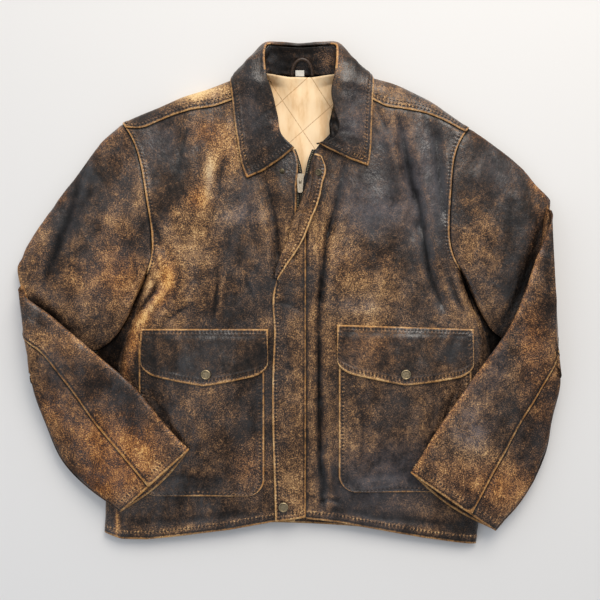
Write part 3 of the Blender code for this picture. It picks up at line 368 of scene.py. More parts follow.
stitching = {"length": 3.4, "radius": 0.6, "spacing": 5.4, "phase": 0.75, "out": 0.1, "clear": 0.15}
stitchRuns = []  # grid, border, way in and where it runs, for every stitched seam
seamForm = {
    "far": 60.0,  # stands for no seam near
    "step": (2.5, 2.5),  # a raised layer ends this far past its stitches, over this reach
    "pull": (0.45, 1.3),  # the thread pulls the leather in: depth, width
    "rim": (0.3, 1.6), "sink": (1.0, 3.0), "lineWidth": 1.5,
}


def dressed(grid, seams, spots, base=0.40, height=0.9, sunk=(), creases=None, lines=()):
    # seams: border, way in of its stitches (0 for a plain worn edge), rows or columns where it runs.
    # A seam's upper layer is raised up to its stitches; sunk borders pass under a neighbour.
    # lines: border, way in and strength of a hem's rubbed line.
    ways, places = borderWays(grid)
    shape = grid.shape[:2]
    far, pull, rim, sink = (seamForm[key] for key in ("far", "pull", "rim", "sink"))
    way, place, inset = np.full(shape, far), np.zeros(shape), np.zeros(shape)
    for name, stitch, where in seams:
        this = ways[name] if where is None else np.where(where, ways[name], far)
        nearer = this < way
        place, inset = np.where(nearer, places[name], place), np.where(nearer, stitch, inset)
        way = np.minimum(way, this)
    low = np.minimum.reduce([np.full(shape, far)] + [ways[name] for name in sunk])
    rub = rubbed(grid)
    past, reach = seamForm["step"]
    relief = height * (1 - smoothStep((way - inset - past) / reach)) - pull[0] * bump(way - inset, pull[1])
    relief = np.where(inset > 0, relief, 0) + rim[0] * bump(way - rim[1], rim[1]) - sink[0] * bump(low, sink[1])
    grid = grid + gridNormals(grid) * relief[..., None]
    for name, stitch, where in seams:
        if stitch:
            stitchRuns.append((grid, name, stitch, where))
    values = {"edgeWay": way, "seamPlace": place, "rub": rub, "groove": low,
              "stitchWay": np.where(inset > 0, np.abs(way - inset), far),
              "crease": np.zeros(shape) if creases is None else creases}
    values.update(wearAndSheenValues(grid, spots, base))
    for name, inward, amount in lines:  # a rubbed line along a hem's stitches
        values["worn"] = values["worn"] + amount * bump(ways[name] - inward, seamForm["lineWidth"])
    return grid, values


# materials
def linear(colour):  # an sRGB hex colour as the linear values that the shaders take
    parts = [int(colour[k:k + 2], 16) / 255 for k in (1, 3, 5)]
    return tuple(c / 12.92 if c <= 0.04045 else ((c + 0.055) / 1.055) ** 2.4 for c in parts) + (1.0,)


def newMaterial(name):
    made = bpy.data.materials.new(name)
    made.use_nodes = True
    made.node_tree.nodes.clear()
    return made, made.node_tree


def node(tree, kind, links=None, inputs=None, **settings):
    made = tree.nodes.new(kind)
    for key, value in settings.items():
        setattr(made, key, value)
    for key, value in (inputs or {}).items():
        made.inputs[key].default_value = value
    for key, source in (links or {}).items():
        tree.links.new(source, made.inputs[key])
    return made


def noiseAt(tree, coords, size, detail=4.0, roughness=0.55, stretch=None):  # size of a blotch in mm
    if stretch:
        coords = node(tree, "ShaderNodeMapping", {"Vector": coords}, {"Scale": stretch}).outputs[0]
    return node(tree, "ShaderNodeTexNoise", {"Vector": coords},
                {"Scale": 1 / (size * mm), "Detail": detail, "Roughness": roughness}).outputs["Fac"]


def sums(tree, operation, a, b=None, c=None):
    links, inputs = {}, {}
    for k, value in enumerate((a, b, c)):
        if value is not None:
            (inputs if isinstance(value, (int, float)) else links)[k] = value
    return node(tree, "ShaderNodeMath", links, inputs, operation=operation).outputs[0]


def ranged(tree, value, low, high, toLow, toHigh, smooth=True):
    kind = "SMOOTHSTEP" if smooth else "LINEAR"
    return node(tree, "ShaderNodeMapRange", {"Value": value},
                {"From Min": low, "From Max": high, "To Min": toLow, "To Max": toHigh},
                interpolation_type=kind).outputs["Result"]


def ramp(tree, value, stops):
    made = node(tree, "ShaderNodeValToRGB", {"Fac": value})
    bar = made.color_ramp
    while len(bar.elements) < len(stops):
        bar.elements.new(0.5)
    for element, (place, colour) in zip(bar.elements, stops):
        element.position, element.color = place, linear(colour)
    return made.outputs["Color"]


def attribute(tree, name):
    return node(tree, "ShaderNodeAttribute", attribute_name=name).outputs["Fac"]


def blended(tree, share, first, second, kind="MIX"):
    made = node(tree, "ShaderNodeMix", data_type="RGBA", blend_type=kind)
    for key, value in (("Factor", share), ("A", first), ("B", second)):
        socket = [s for s in made.inputs if s.name == key and s.enabled][0]
        if isinstance(value, (int, float, tuple)):
            socket.default_value = value
        else:
            tree.links.new(value, socket)
    return [s for s in made.outputs if s.enabled][0]


def finished(tree, **inputs):  # the shader itself, and the material's output
    shader = node(tree, "ShaderNodeBsdfPrincipled")
    for key, value in inputs.items():
        socket = shader.inputs[key.replace("_", " ")]
        if hasattr(value, "links"):
            tree.links.new(value, socket)
        else:
            socket.default_value = value
    node(tree, "ShaderNodeOutputMaterial", {"Surface": shader.outputs[0]})


drawnOut, drawnFar = (1.0, 0.6, 1.0), (1.0, 0.5, 1.0)  # patterns run longer across the jacket
leatherLook = {
    "colours": ((0.0, "#0f0c0a"), (0.18, "#1a1512"), (0.32, "#2b211a"), (0.45, "#463529"), (0.58, "#6a4f38"),
                (0.72, "#93704d"), (0.86, "#bb9463"), (1.0, "#dbbd8c")),
    "edge": "#ac7c45", "gold": "#c98f3e", "paintedSheenTone": "#67656b",  # rubbed borders, golden places, painted grey sheen
    # size in mm, detail, roughness and stretch of each pattern
    "patterns": {"blotch": (85.0, 3, 0.55), "patch": (26.0, 10, 0.78), "speck": (1.6, 2, 0.6),
                 "fleck": (4.8, 5, 0.7, drawnOut), "smear": (45.0, 5, 0.6, drawnOut),
                 "wrinkle": (9.0, 6, 0.62, drawnOut), "dent": (30.0, 3, 0.5, drawnFar)},
    "grain": 1.7,  # pebbles, drawn coarser than the real 0.6 mm to show
    # what each part adds to the wear value that picks the colour; the line beside an edge, borders passing
    # under a neighbour and crease valleys add painted shade
    "adds": {"blotch": 0.9, "patch": 1.05, "fleck": 0.62, "rub": 0.12, "crease": 0.035, "beside": -0.16,
             "pucker": 0.13, "band": 0.05, "hidden": -0.30},
    "edgePatch": (0.9, -0.06),
    # a value from one end to the other gives the third to the fourth number
    "ranges": {"grainy": (0.3, 0.5, 0.95, 1.6), "edgeLine": (0.8, 3.1, 1.0, 0.0), "after": (2.8, 3.7, 0.0, 1.0),
               "before": (4.2, 5.8, 1.0, 0.0), "band": (0.8, 3.8, 1.0, 0.0), "hidden": (0.0, 5.0, 1.0, 0.0),
               "rubbedEdge": (0.38, 0.62, 0.1, 0.9), "paintedSheenTone": (0.3, 0.62, 0.1, 0.6),
               "valley": (-4.2, -0.4, 0.25, 1.0), "gloss": (0.25, 0.75, 0.30, 0.58),
               "smearGloss": (0.35, 0.65, -0.14, 0.16), "shine": (0.34, 0.62, 0.5, 0.16),
               "smearPolish": (0.36, 0.58, 1.25, 0.15)},
    "goldShare": 0.6, "speckGloss": 0.35, "hiddenShade": -0.55,
    "heights": {"grain": 0.20, "wrinkle": 2.6, "dent": 5.0, "pucker": 0.35},
    "bump": {"Strength": 0.6, "Distance": 0.9 * mm}, "coatRoughness": 0.32,
}


def leatherMaterial(name, wearShift=0.0, golden=1.0, coat=0.38):
    # distressed pigmented cowhide: a dark glossy finish, rubbed through to its tan on ridges and edges
    made, tree = newMaterial(name)
    look = leatherLook

    def within(key, value):
        return ranged(tree, value, *look["ranges"][key])

    coords = node(tree, "ShaderNodeTexCoord").outputs["Object"]
    pattern = {key: noiseAt(tree, coords, *form) for key, form in look["patterns"].items()}
    centred = {key: sums(tree, "SUBTRACT", pattern[key], 0.5) for key in ("blotch", "patch", "fleck", "speck")}
    keys = ("worn", "edgeWay", "stitchWay", "groove", "crease", "rub")
    worn, edge, stitchWay, groove, crease, rub = (attribute(tree, key) for key in keys)
    # the worn line on an edge, a painted shade line beside it, the puckers between stitches, and painted shade
    # along borders that pass under a neighbour
    edgeLine, band, hidden = within("edgeLine", edge), within("band", stitchWay), within("hidden", groove)
    beside = sums(tree, "MULTIPLY", within("after", edge), within("before", edge))
    turns = sums(tree, "MULTIPLY", attribute(tree, "seamPlace"), 2 * math.pi / stitching["spacing"])
    pucker = sums(tree, "MULTIPLY", band, sums(tree, "SINE", turns))
    # rubbed leather shows more grain, and its edges follow the patches
    amounts = dict(look["adds"], speck=within("grainy", worn),
                   edgeLine=sums(tree, "MULTIPLY_ADD", pattern["patch"], *look["edgePatch"]))
    parts = {"rub": rub, "crease": crease, "edgeLine": edgeLine, "beside": beside, "pucker": pucker,
             "band": band, "hidden": hidden}
    wearLightAndShade = worn
    for key, value in list(centred.items()) + list(parts.items()):
        wearLightAndShade = sums(tree, "MULTIPLY_ADD", value, amounts[key], wearLightAndShade)
    wearLightAndShade = sums(tree, "ADD", wearLightAndShade, wearShift)
    colour = ramp(tree, wearLightAndShade, look["colours"])
    rubbedEdge = sums(tree, "MULTIPLY", edgeLine, within("rubbedEdge", pattern["fleck"]))
    colour = blended(tree, rubbedEdge, colour, linear(look["edge"]))
    gold = sums(tree, "MULTIPLY", attribute(tree, "gold"), golden)
    colour = blended(tree, gold, colour,
                     blended(tree, look["goldShare"], colour, linear(look["gold"]), "SOFT_LIGHT"))
    # painted sheen: a cool grey mixed into the colour where the spots give it, standing for the finish
    # reflecting the sky
    paintedSheenTone = sums(tree, "MULTIPLY", attribute(tree, "paintedSheen"), within("paintedSheenTone", pattern["patch"]))
    colour = blended(tree, paintedSheenTone, colour, linear(look["paintedSheenTone"]))
    # painted shade: the colour is darkened in crease valleys and along borders that pass under a neighbour
    shade = sums(tree, "MULTIPLY", within("valley", crease),
                 sums(tree, "MULTIPLY_ADD", hidden, look["hiddenShade"], 1.0))
    colour = blended(tree, 1.0, colour, shade, "MULTIPLY")
    gloss = sums(tree, "MULTIPLY_ADD", centred["speck"], look["speckGloss"], within("gloss", wearLightAndShade))
    gloss = sums(tree, "ADD", gloss, within("smearGloss", pattern["smear"]))
    high = look["heights"]
    grain = node(tree, "ShaderNodeTexVoronoi", {"Vector": coords}, {"Scale": 1 / (look["grain"] * mm)},
                 feature="SMOOTH_F1").outputs["Distance"]
    height = sums(tree, "MULTIPLY", pattern["wrinkle"], high["wrinkle"])
    for key, value in (("grain", grain), ("dent", pattern["dent"]), ("pucker", pucker)):
        height = sums(tree, "MULTIPLY_ADD", value, high[key], height)
    bumped = node(tree, "ShaderNodeBump", {"Height": height}, look["bump"]).outputs[0]
    # the finish shines in streaks and lies nearly matt between them
    shine = sums(tree, "MULTIPLY", shade, within("shine", pattern["smear"]))
    polish = sums(tree, "MULTIPLY", shade, ranged(tree, wearLightAndShade, 0.15, 0.6, coat, 0.0))
    polish = sums(tree, "MULTIPLY", polish, within("smearPolish", pattern["smear"]))
    finished(tree, Base_Color=colour, Roughness=gloss, Normal=bumped, Specular_IOR_Level=shine, IOR=1.5,
             Coat_Weight=polish, Coat_Roughness=look["coatRoughness"], Coat_IOR=1.5, Coat_Normal=bumped)
    return made


def plainMaterial(name, colour, roughness, metallic=0.0, size=2.0, spread=0.15, bumpHeight=0.1, **more):
    # one colour with a fine uneven tone: what size the pattern has in mm, and how strong it is
    made, tree = newMaterial(name)
    coords = node(tree, "ShaderNodeTexCoord").outputs["Object"]
    pattern = noiseAt(tree, coords, size, 4, 0.6)
    shade = ranged(tree, pattern, 0.3, 0.7, 1 - spread, 1 + spread)
    tone = blended(tree, 1.0, linear(colour), shade, "MULTIPLY")
    rough = ranged(tree, pattern, 0.3, 0.7, roughness - 0.06, roughness + 0.08)
    bumped = node(tree, "ShaderNodeBump", {"Height": pattern}, {"Strength": 0.5, "Distance": bumpHeight * mm})
    finished(tree, Base_Color=tone, Roughness=rough, Metallic=metallic, Normal=bumped.outputs[0], **more)
    return made


liningLook = {
    "cloth": "#f1ca95", "pale": "#fde0b6", "foldShade": "#d9a974", "thread": "#a8743c", "spacing": 55.0,
    # each family of quilting lines: direction, and a point that one of its lines passes, mm
    "families": (((0.56, -0.83), (-31.5, 322.5)), ((0.75, 0.66), (-19, 285))),
}


def liningMaterial():  # satin lining, quilted in diamonds with thin tan thread
    made, tree = newMaterial("quilted satin lining")
    coords = node(tree, "ShaderNodeTexCoord").outputs["Object"]
    spacing, near = liningLook["spacing"], None
    for (dx, dy), (px, py) in liningLook["families"]:
        run = math.hypot(dx, dy) * spacing
        across = node(tree, "ShaderNodeVectorMath", {0: coords}, {1: (dy / run / mm, -dx / run / mm, 0)},
                      operation="DOT_PRODUCT").outputs["Value"]
        place = sums(tree, "FRACT", sums(tree, "ADD", across, 0.5 - (px * dy - py * dx) / run))
        away = sums(tree, "MULTIPLY", sums(tree, "ABSOLUTE", sums(tree, "SUBTRACT", place, 0.5)), spacing)
        near = away if near is None else sums(tree, "MINIMUM", near, away)
    dashes = ranged(tree, noiseAt(tree, coords, 1.3, 2, 0.5), 0.3, 0.6, 0.35, 1.0)
    line = sums(tree, "MULTIPLY", ranged(tree, near, 0.35, 0.9, 1.0, 0.0), dashes)
    soft = noiseAt(tree, coords, 22.0, 4, 0.6, (1.0, 0.3, 1.0))
    cloth, pale, foldShade, stitch = (linear(liningLook[key]) for key in ("cloth", "pale", "foldShade", "thread"))
    base = blended(tree, ranged(tree, soft, 0.3, 0.7, 0.0, 1.0), cloth, pale)
    # painted shade: darker long streaks standing for the lining's soft vertical folds
    base = blended(tree, ranged(tree, soft, 0.5, 0.36, 0.0, 0.4), base, foldShade)
    colour = blended(tree, sums(tree, "MULTIPLY", line, 0.75), base, stitch)
    weave = node(tree, "ShaderNodeTexWave", {"Vector": coords}, {"Scale": 1 / (4.0 * mm), "Distortion": 0.6,
                 "Detail": 1.0}, bands_direction="DIAGONAL").outputs["Fac"]
    bumped = node(tree, "ShaderNodeBump", {"Height": weave}, {"Strength": 0.25, "Distance": 0.1 * mm})
    finished(tree, Base_Color=colour, Roughness=0.58, Normal=bumped.outputs[0], Sheen_Weight=0.25)
    return made


shellLeather = leatherMaterial("distressed shell leather")
collarLeather = leatherMaterial("distressed collar leather", -0.15, 0.8, 0.12)
lining = liningMaterial()
zipCloth = plainMaterial("zip tape, black polyester", "#151414", 0.8, size=0.9, spread=0.3)
agedBrass = plainMaterial("aged brass", "#97886c", 0.4, 1.0, size=1.6, spread=0.3, bumpHeight=0.05)
paleBrass = plainMaterial("pale zip brass", "#948b74", 0.4, 1.0, size=1.2, spread=0.2, bumpHeight=0.03)
darkBrass = plainMaterial("tarnished brass", "#57503f", 0.45, 1.0, size=1.4, spread=0.3, bumpHeight=0.05)
dullBrass = plainMaterial("dull slider brass", "#a59a88", 0.5, 1.0, size=1.4, spread=0.3, bumpHeight=0.05)
thread = plainMaterial("waxed thread, dark brown", "#1b130d", 0.6, size=0.5, spread=0.3)
tabCloth = plainMaterial("woven size tab", "#e9e4d8", 0.8, size=0.8, spread=0.06)
cordLeather = plainMaterial("worn leather cord", "#3a2a1e", 0.34, size=2.4, spread=0.45)
print("materials made")

# wear and painted light by region: centre x and y, radii, how rubbed (0 to 1 adds to the pattern; a few small
# bright spots are painted highlights), how golden (or, below 0, how much painted cool grey sheen it gets)
bodyWearAndSheen = (
    (-127, 100, 60, 75, 0.11, 0.1), (-172, 165, 34, 44, -0.1, 0), (-127, 150, 20, 34, 0.14, 0.3),
    (-89, 214, 26, 34, 0.11, 0.3), (-190, 30, 26, 44, 0.16, 0.5), (-150, -10, 50, 40, 0.06, 0.1),
    (-82, 70, 26, 50, -0.05, 0), (-150, 300, 66, 14, 0.55, 0.1), (-226, 262, 14, 12, -0.1, 0),
    (104, 130, 34, 50, -0.03, -0.7), (196, 150, 40, 70, -0.05, -0.7), (150, 236, 60, 26, -0.06, -0.5),
    (-117, 188, 8, 14, 0.24, -0.2), (-119, 165, 6, 24, 0.16, -0.8), (-138, 140, 14, 16, 0.18, 0.6),
    (-169, 119, 9, 6, 0.22, 0.1), (-72, 114, 42, 12, 0.08, -0.6), (-125, 240, 28, 20, 0.1, 0.7),
    (-174, 148, 20, 24, -0.1, 0), (-85, 70, 40, 30, -0.07, 0), (150, 125, 26, 26, 0, -0.5),
    (120, 60, 60, 30, 0.05, 0.2), (106, -18, 38, 14, 0.06, -0.6), (-181, 22, 9, 18, 0.1, 0.9),
    (-196, -10, 12, 14, 0.12, 0.9), (-218, -36, 12, 16, 0.16, 0.9), (-233, -70, 9, 24, 0.22, 0.9),
    (-246, -112, 8, 26, 0.18, 0.7), (-66, 150, 14, 40, -0.05, -0.4), (200, -262, 60, 30, 0, -0.3),
    (130, -285, 70, 60, -0.05, -0.5), (-190, 230, 30, 34, -0.04, -0.4), (-120, 90, 50, 60, 0.05, 0),
    (-260, -342, 4, 26, 0.34, 0.8), (60, -300, 24, 40, -0.08, 0), (110, 120, 50, 40, 0.05, 0),
    (76, 35, 46, 40, 0.09, 0.1), (60, 90, 30, 50, 0.06, 0.1), (110, 150, 60, 80, -0.07, 0),
    (200, 120, 60, 110, -0.05, 0), (120, -10, 60, 30, 0.05, 0), (210, 284, 46, 12, 0.16, 0.1),
    (-112, -190, 60, 60, 0.06, 0.1), (-60, -262, 24, 34, 0.16, 0.5), (-170, -280, 60, 30, -0.05, 0),
    (-127, -80, 60, 30, 0.03, 0), (118, -80, 46, 26, 0.08, 0.3), (230, -80, 40, 40, -0.06, 0),
    (90, -175, 30, 80, 0.04, 0), (200, -240, 60, 60, -0.05, 0), (-120, -335, 150, 16, -0.06, 0),
    (190, -345, 120, 20, -0.07, 0), (-240, -60, 14, 60, 0.08, 0.3),
)


def wearAndSheenValues(grid, spots, base=0.40):
    x, y = grid[..., 0], grid[..., 1]
    worn, gold = np.full(x.shape, base), np.zeros(x.shape)
    for cx, cy, rx, ry, amount, tint in spots:
        near = np.exp(-((x - cx) / rx) ** 2 - ((y - cy) / ry) ** 2)
        worn, gold = worn + amount * near, gold + tint * near
    # a tint below 0 becomes painted grey sheen, not gold
    return {"worn": worn, "gold": np.clip(gold, 0, 1), "paintedSheen": np.clip(-gold, 0, 1)}


fronts = {
    "left": {
        "low": ((-361, -343), (-330, -318), (-285, -278), (-225, -225), (-165, -165), (-110, -110),
                (-60, -60), (-20, -18)),  # y at the side, y at the centre edge
        "high": ((0, 9.5, 30), (1, 9.5, 40), (2, 9.5, 62), (3, 10, 100), (4, 10, 152), (5, 7.5, 211),
                 (5.5, -21, 243), (6, -42, 303)),  # armhole corner, x and y of the centre edge
        "hemX": 8.0, "sideLine": "sideLeft", "centreLine": -0.2,  # how dark the centre edge's line is
        "seam": ((-222, 246), (-197, 255), (-178, 263), (-148, 272.5), (-110, 279), (-87, 287), (-42, 303)),
        # droop of the hem: share from the side, droop
        "hem": ((0, 0), (0.09, -10), (0.22, -13), (0.35, -12), (0.5, -9), (0.66, -6), (0.89, 2), (1, 0)),
    },
    "right": {
        "low": ((-378, -338), (-345, -318), (-285, -278), (-225, -225), (-165, -165), (-110, -110),
                (-60, -60), (-20, -18)),
        "high": ((0, 25, 34), (1, 25, 44), (2, 25, 64), (3, 25, 97), (4, 27, 150), (5, 40, 214),
                 (5.5, 66, 245), (6, 75, 303)),
        "hemX": 25.0, "sideLine": "sideRight", "centreLine": -0.4,
        "seam": ((230, 258), (203, 268), (166, 275), (142, 279), (126, 287), (75, 303)),
        "hem": ((0, 0), (0.12, -1.5), (0.3, -2), (0.5, -1), (0.8, 1.5), (1, 0)),
    },
}
frontRows, frontColumns = 210, 92
nearSide = np.array([0, 0.4, 1.1, 2.2, 3.8, 6, 8.6, 11.6, 15, 19, 23.5])  # fine columns at the rounded side
seamSections, hemSections = 3, 2.6  # how far the shoulder seam's bow and the hem's droop reach


def lineAtY(line, y):
    order = np.argsort(line[:, 1])
    return np.interp(y, line[order, 1], line[order, 0])


def frontFlat(which):
    # plan points of a front, hem to shoulder and side to centre, and each row's place above the underarm
    front = fronts[which]
    low, high = np.array(front["low"], float), np.array(front["high"], float)
    armhole = armholes[which]
    shares = np.interp(high[:, 0], range(9), cornerShares)
    side = outlines[front["sideLine"]]
    sidePoints = np.concatenate([np.stack([lineAtY(side, low[:, 0]), low[:, 0]], axis=1),
                                 armholePoint(armhole, shares)])
    centre = np.concatenate([np.stack([np.full(len(low), front["hemX"]), low[:, 1]], axis=1), high[:, 1:]])
    at = (along(sidePoints) + along(centre)) / 2
    fine = np.linspace(0, at[-1], frontRows)
    index = np.interp(fine, at, range(len(at)))
    y = np.interp(index, range(len(low) + 1), list(low[:, 0]) + [armhole[0][1]])
    below = index <= len(low)
    edge = armholePoint(armhole, np.interp(index, range(len(low), len(at)), shares))
    edge[below] = np.stack([lineAtY(side, y), y], axis=1)[below]
    middle = through(centre, at, fine)
    run = np.linalg.norm(middle - edge, axis=1)
    rest = np.linspace(0, 1, frontColumns - len(nearSide) + 1)[1:]
    ways = np.concatenate([np.broadcast_to(nearSide, (frontRows, len(nearSide))),
                           nearSide[-1] + rest * (run[:, None] - nearSide[-1])], axis=1)
    share = ways / run[:, None]
    flat = edge[:, None] + (middle - edge)[:, None] * share[..., None]
    top = smoothLine([armholePoint(armhole, cornerShares[ring["seamCorner"]])] + list(front["seam"]), 4)
    line = through(top, along(top) / along(top)[-1], share[-1])
    bow = np.stack([np.interp(share, share[-1], (line - mix(line[:1], line[-1:], share[-1][:, None]))[:, k])
                    for k in (0, 1)], axis=-1)
    flat += bow * np.clip(1 - (len(at) - 1 - index) / seamSections, 0, 1)[:, None, None]
    droop = np.interp(share, *np.array(front["hem"], float).T)
    flat[..., 1] += droop * smoothStep(1 - index / hemSections)[:, None]
    return flat, index - len(low)


placketStrip = {
    "edge": (42, 2.5), "height": 0.8, "top": (170, 12),  # where it ends, over which reach
    "groove": (44.5, 2.2, -0.8), "shadow": (2.6, -1.28),
}


def buildFront(which, material):
    flat, above = frontFlat(which)
    x, y = flat[..., 0], flat[..., 1]
    grid = np.dstack([x, y, frontFace(x, y)])
    creases = creaseField(x, y, frontCreases)
    if which == "right":  # the placket's facing, stitched down beside the storm flap
        strip = placketStrip
        (edge, reach), (top, fade), (grooveX, width, depth) = strip["edge"], strip["top"], strip["groove"]
        here = smoothStep((top - y) / fade)
        grid[..., 2] += strip["height"] * (1 - smoothStep((x - edge) / reach)) * here
        grid[..., 2] += depth * bump(x - grooveX, width) * here
        creases = creases + strip["shadow"][1] * bump(x - grooveX, strip["shadow"][0]) * here
    grid[..., 2][above <= 0, 0] = bodyForm["edgeHeight"] + bodyForm["seamGap"] / 2
    atArmhole = np.broadcast_to(above[:, None] > 0, x.shape)
    if which == "right":
        grid, atArmhole, creases = grid[:, ::-1], atArmhole[:, ::-1], creases[:, ::-1]
    side, centre = ("left", "right") if which == "left" else ("right", "left")
    seams = [(side, 4.5, atArmhole), ("first", 10, None)]
    if which == "left":  # the right front's edge lies under the storm flap
        seams.append((centre, 0, None))
    grid, values = dressed(grid, seams, bodyWearAndSheen, sunk=("last",), creases=creases,
                           lines=(("first", 11.5, 0.22), (centre, 0.8, fronts[which]["centreLine"])))
    clothPiece(f"front_{which}", grid, bodyForm["wall"], material, values)
    return grid


back = {
    "low": ((-361, -377), (-300, -300), (-200, -200), (-100, -100), (-35, -30)),  # y at the two sides
    "hemBow": 20.0, "dip": 18.0, "armCorners": 6,
    # the loose side under each arm: y, how far it sags out beyond the front's edge
    "sag": {"left": ((-200, 0), (-150, 46), (-105, 57), (-74, 45), (-42, 28), (-8, 18), (14, 9), (27, 0)),
            "right": ((-190, 0), (-130, 42), (-80, 42), (-62, 30), (-40, 24), (-8, 15), (16, 8), (33, 0))},
    "sagReach": 23.5,
    "sagHeights": ((0, 7.85), (0.12, 6.6), (0.42, 5.4), (0.62, 1.2), (1, 0.2)),  # share inward, height
    "armReach": 45, "settle": 0.55,
    # share of the wrap, and the plain strip's share beside the neck, below and on top
    "plainUnder": ((0, 0.4), (0.22, 0.2), (1, 0)), "plainTop": ((0, 0.4), (0.22, 0.6), (0.6, 0.8), (1, 1)),
    # neck: x and y of the rounded outline, x and y of the edge, its height, share of wrap
    "neck": ((-31, 329, -36, 322, 15.0, 0.45), (-8, 326, -8, 326, 7.5, 0), (16, 326, 16, 326, 6.5, 0),
             (42, 326, 42, 326, 7.5, 0), (65, 329, 69, 322, 15.0, 0.45)),
    "neckColumns": 36, "flatRows": 56,
    "underReach": (1, 0.8, 0.62, 0.46, 0.33, 0.22, 0.13, 0.07, 0.02),
    "topReach": (0, 0.012, 0.035, 0.07, 0.12, 0.18, 0.25, 0.33, 0.42, 0.52, 0.62, 0.72, 0.80, 0.86, 0.91,
                 0.95, 0.98, 1),
}


def backColumns(leftTop, rightTop):  # of each column: outline x, y, edge x, y, height, share of wrap
    halves = []
    for top, which, outline in ((leftTop, "left", "shoulderLeft"), (rightTop, "right", "shoulderRight")):
        shoulder = np.array(armholes[which][1], float)
        line = outlines[outline]
        line = np.concatenate([[shoulder], line[np.abs(line[:, 0]) < abs(shoulder[0]) - 2][::-1]])
        share = np.linalg.norm(top[:, :2] - top[0, :2], axis=1)
        at = along(line) / along(line)[-1]
        outer = np.stack([np.interp(share / share[-1], at, line[:, k]) for k in (0, 1)], axis=-1)
        halves.append(np.column_stack([outer, top[:, 0], top[:, 1] + bodyForm["seamGap"], top[:, 2],
                                       np.ones(len(top))]))
    neck = np.array([halves[0][-1], *back["neck"], halves[1][-1]], float)
    fine = np.linspace(0, len(neck) - 1, back["neckColumns"])[1:-1]
    return np.concatenate([halves[0], through(neck, np.arange(len(neck)), fine), halves[1][::-1]])


def backPanel(outer, end, wrap):  # the panel's outer face from the hem to below the shoulders
    low, corners = np.array(back["low"], float), cornerShares[:back["armCorners"]]
    lefts, rights = (np.concatenate([np.stack([lineAtY(outlines[side], y), y], axis=1),
                                     armholePoint(armholes[which], corners)])
                     for side, y, which in (("sideLeft", low[:, 0], "left"), ("sideRight", low[:, 1], "right")))
    share = (outer[:, 0] - outer[0, 0]) / (outer[-1, 0] - outer[0, 0])
    up = ((lefts[:, 1] - lefts[0, 1]) / (outer[0, 1] - lefts[0, 1]))[:, None]
    rows = mix(lefts[:, None], rights[:, None], share[:, None])
    arch = outer[:, 1] - mix(outer[0, 1], outer[-1, 1], share)
    rows[..., 1] += back["hemBow"] * 4 * share * (1 - share) * (1 - up) + arch * up**2
    dip = np.column_stack([mix(outer[:, 0], end[:, 0], wrap[:, 0]), outer[:, 1] - back["dip"]])
    for column, which in ((0, "left"), (-1, "right")):
        dip[column] = armholePoint(armholes[which], cornerShares[ring["seamCorner"]])
    rows = np.concatenate([rows, dip[None]])
    place = np.linspace(0, len(rows) - 1, back["flatRows"])[:-1]
    flat = through(rows, np.arange(len(rows)), place)
    grid = np.dstack([flat, bodyUnder(flat[..., 0], flat[..., 1])])
    belowArmhole = place <= len(low)
    for column in (0, -1):
        grid[belowArmhole, column, 2] = bodyForm["edgeHeight"] - bodyForm["seamGap"] / 2
    for column, side, which in ((0, -1, "left"), (-1, 1, "right")):
        sag = np.interp(grid[:, column, 1], *np.transpose(back["sag"][which])) * belowArmhole
        inward = np.clip(np.abs(grid[..., 0] - grid[:, column, 0][:, None]) / back["sagReach"], 0, 1)
        full = smoothStep(3 * sag / max(sag.max(), 1))[:, None]
        grid[..., 0] += side * sag[:, None] * np.sin(math.pi * inward**0.8)
        height = np.interp(inward, *np.transpose(back["sagHeights"]))
        grid[..., 2] = mix(grid[..., 2], height, full * (inward < 1))
    return grid


def backRow(outer, end, wrap, reach, top):  # one row of the part that turns over the shoulders
    if top:
        xy = mix(outer, end[:, :2], reach)
    else:
        xy = outer + np.column_stack([end[:, 0] - outer[:, 0], np.full(len(outer), -back["dip"])]) * reach
    ringShare = np.interp(reach, (0, 0.22, 1), (1, cornerShares[7], cornerShares[6]))
    for column, which in ((0, "left"), (-1, "right")):
        delta = armholePoint(armholes[which], ringShare) - xy[column]
        if top:
            delta[1] += bodyForm["seamGap"]
        away = np.abs(outer[:, 0] - outer[column, 0])
        xy = xy + delta * smoothStep(1 - away / back["armReach"])[:, None]
    x, y = xy[:, 0], xy[:, 1]
    if top:
        calm = smoothStep(edgeDistance(x, y) / bodyForm["calmReach"])
        height = bodyTop(x, y) + (creaseField(x, y, frontCreases) + waves(x, y, bodyForm["waves"])) * calm
        height = mix(height, end[:, 2], smoothStep((reach - back["settle"]) / (1 - back["settle"])))
        if reach == 0:
            height[:] = bodyForm["edgeHeight"]
    else:
        height = bodyUnder(x, y)
    start = outer - [0, back["dip"]]
    start = np.column_stack([start, bodyUnder(start[:, 0], start[:, 1])])
    order = np.interp(reach, *np.transpose(back["plainTop" if top else "plainUnder"]))
    return mix(mix(start, end, order), np.column_stack([xy, height]), wrap)


def backGrid(leftTop, rightTop):
    columns = backColumns(leftTop, rightTop)
    parts = columns[:, :2], columns[:, 2:5], columns[:, 5:6]  # outline, edge, share of wrap
    turns = [(reach, False) for reach in back["underReach"]] + [(reach, True) for reach in back["topReach"]]
    return np.concatenate([backPanel(*parts), [backRow(*parts, *turn) for turn in turns]])


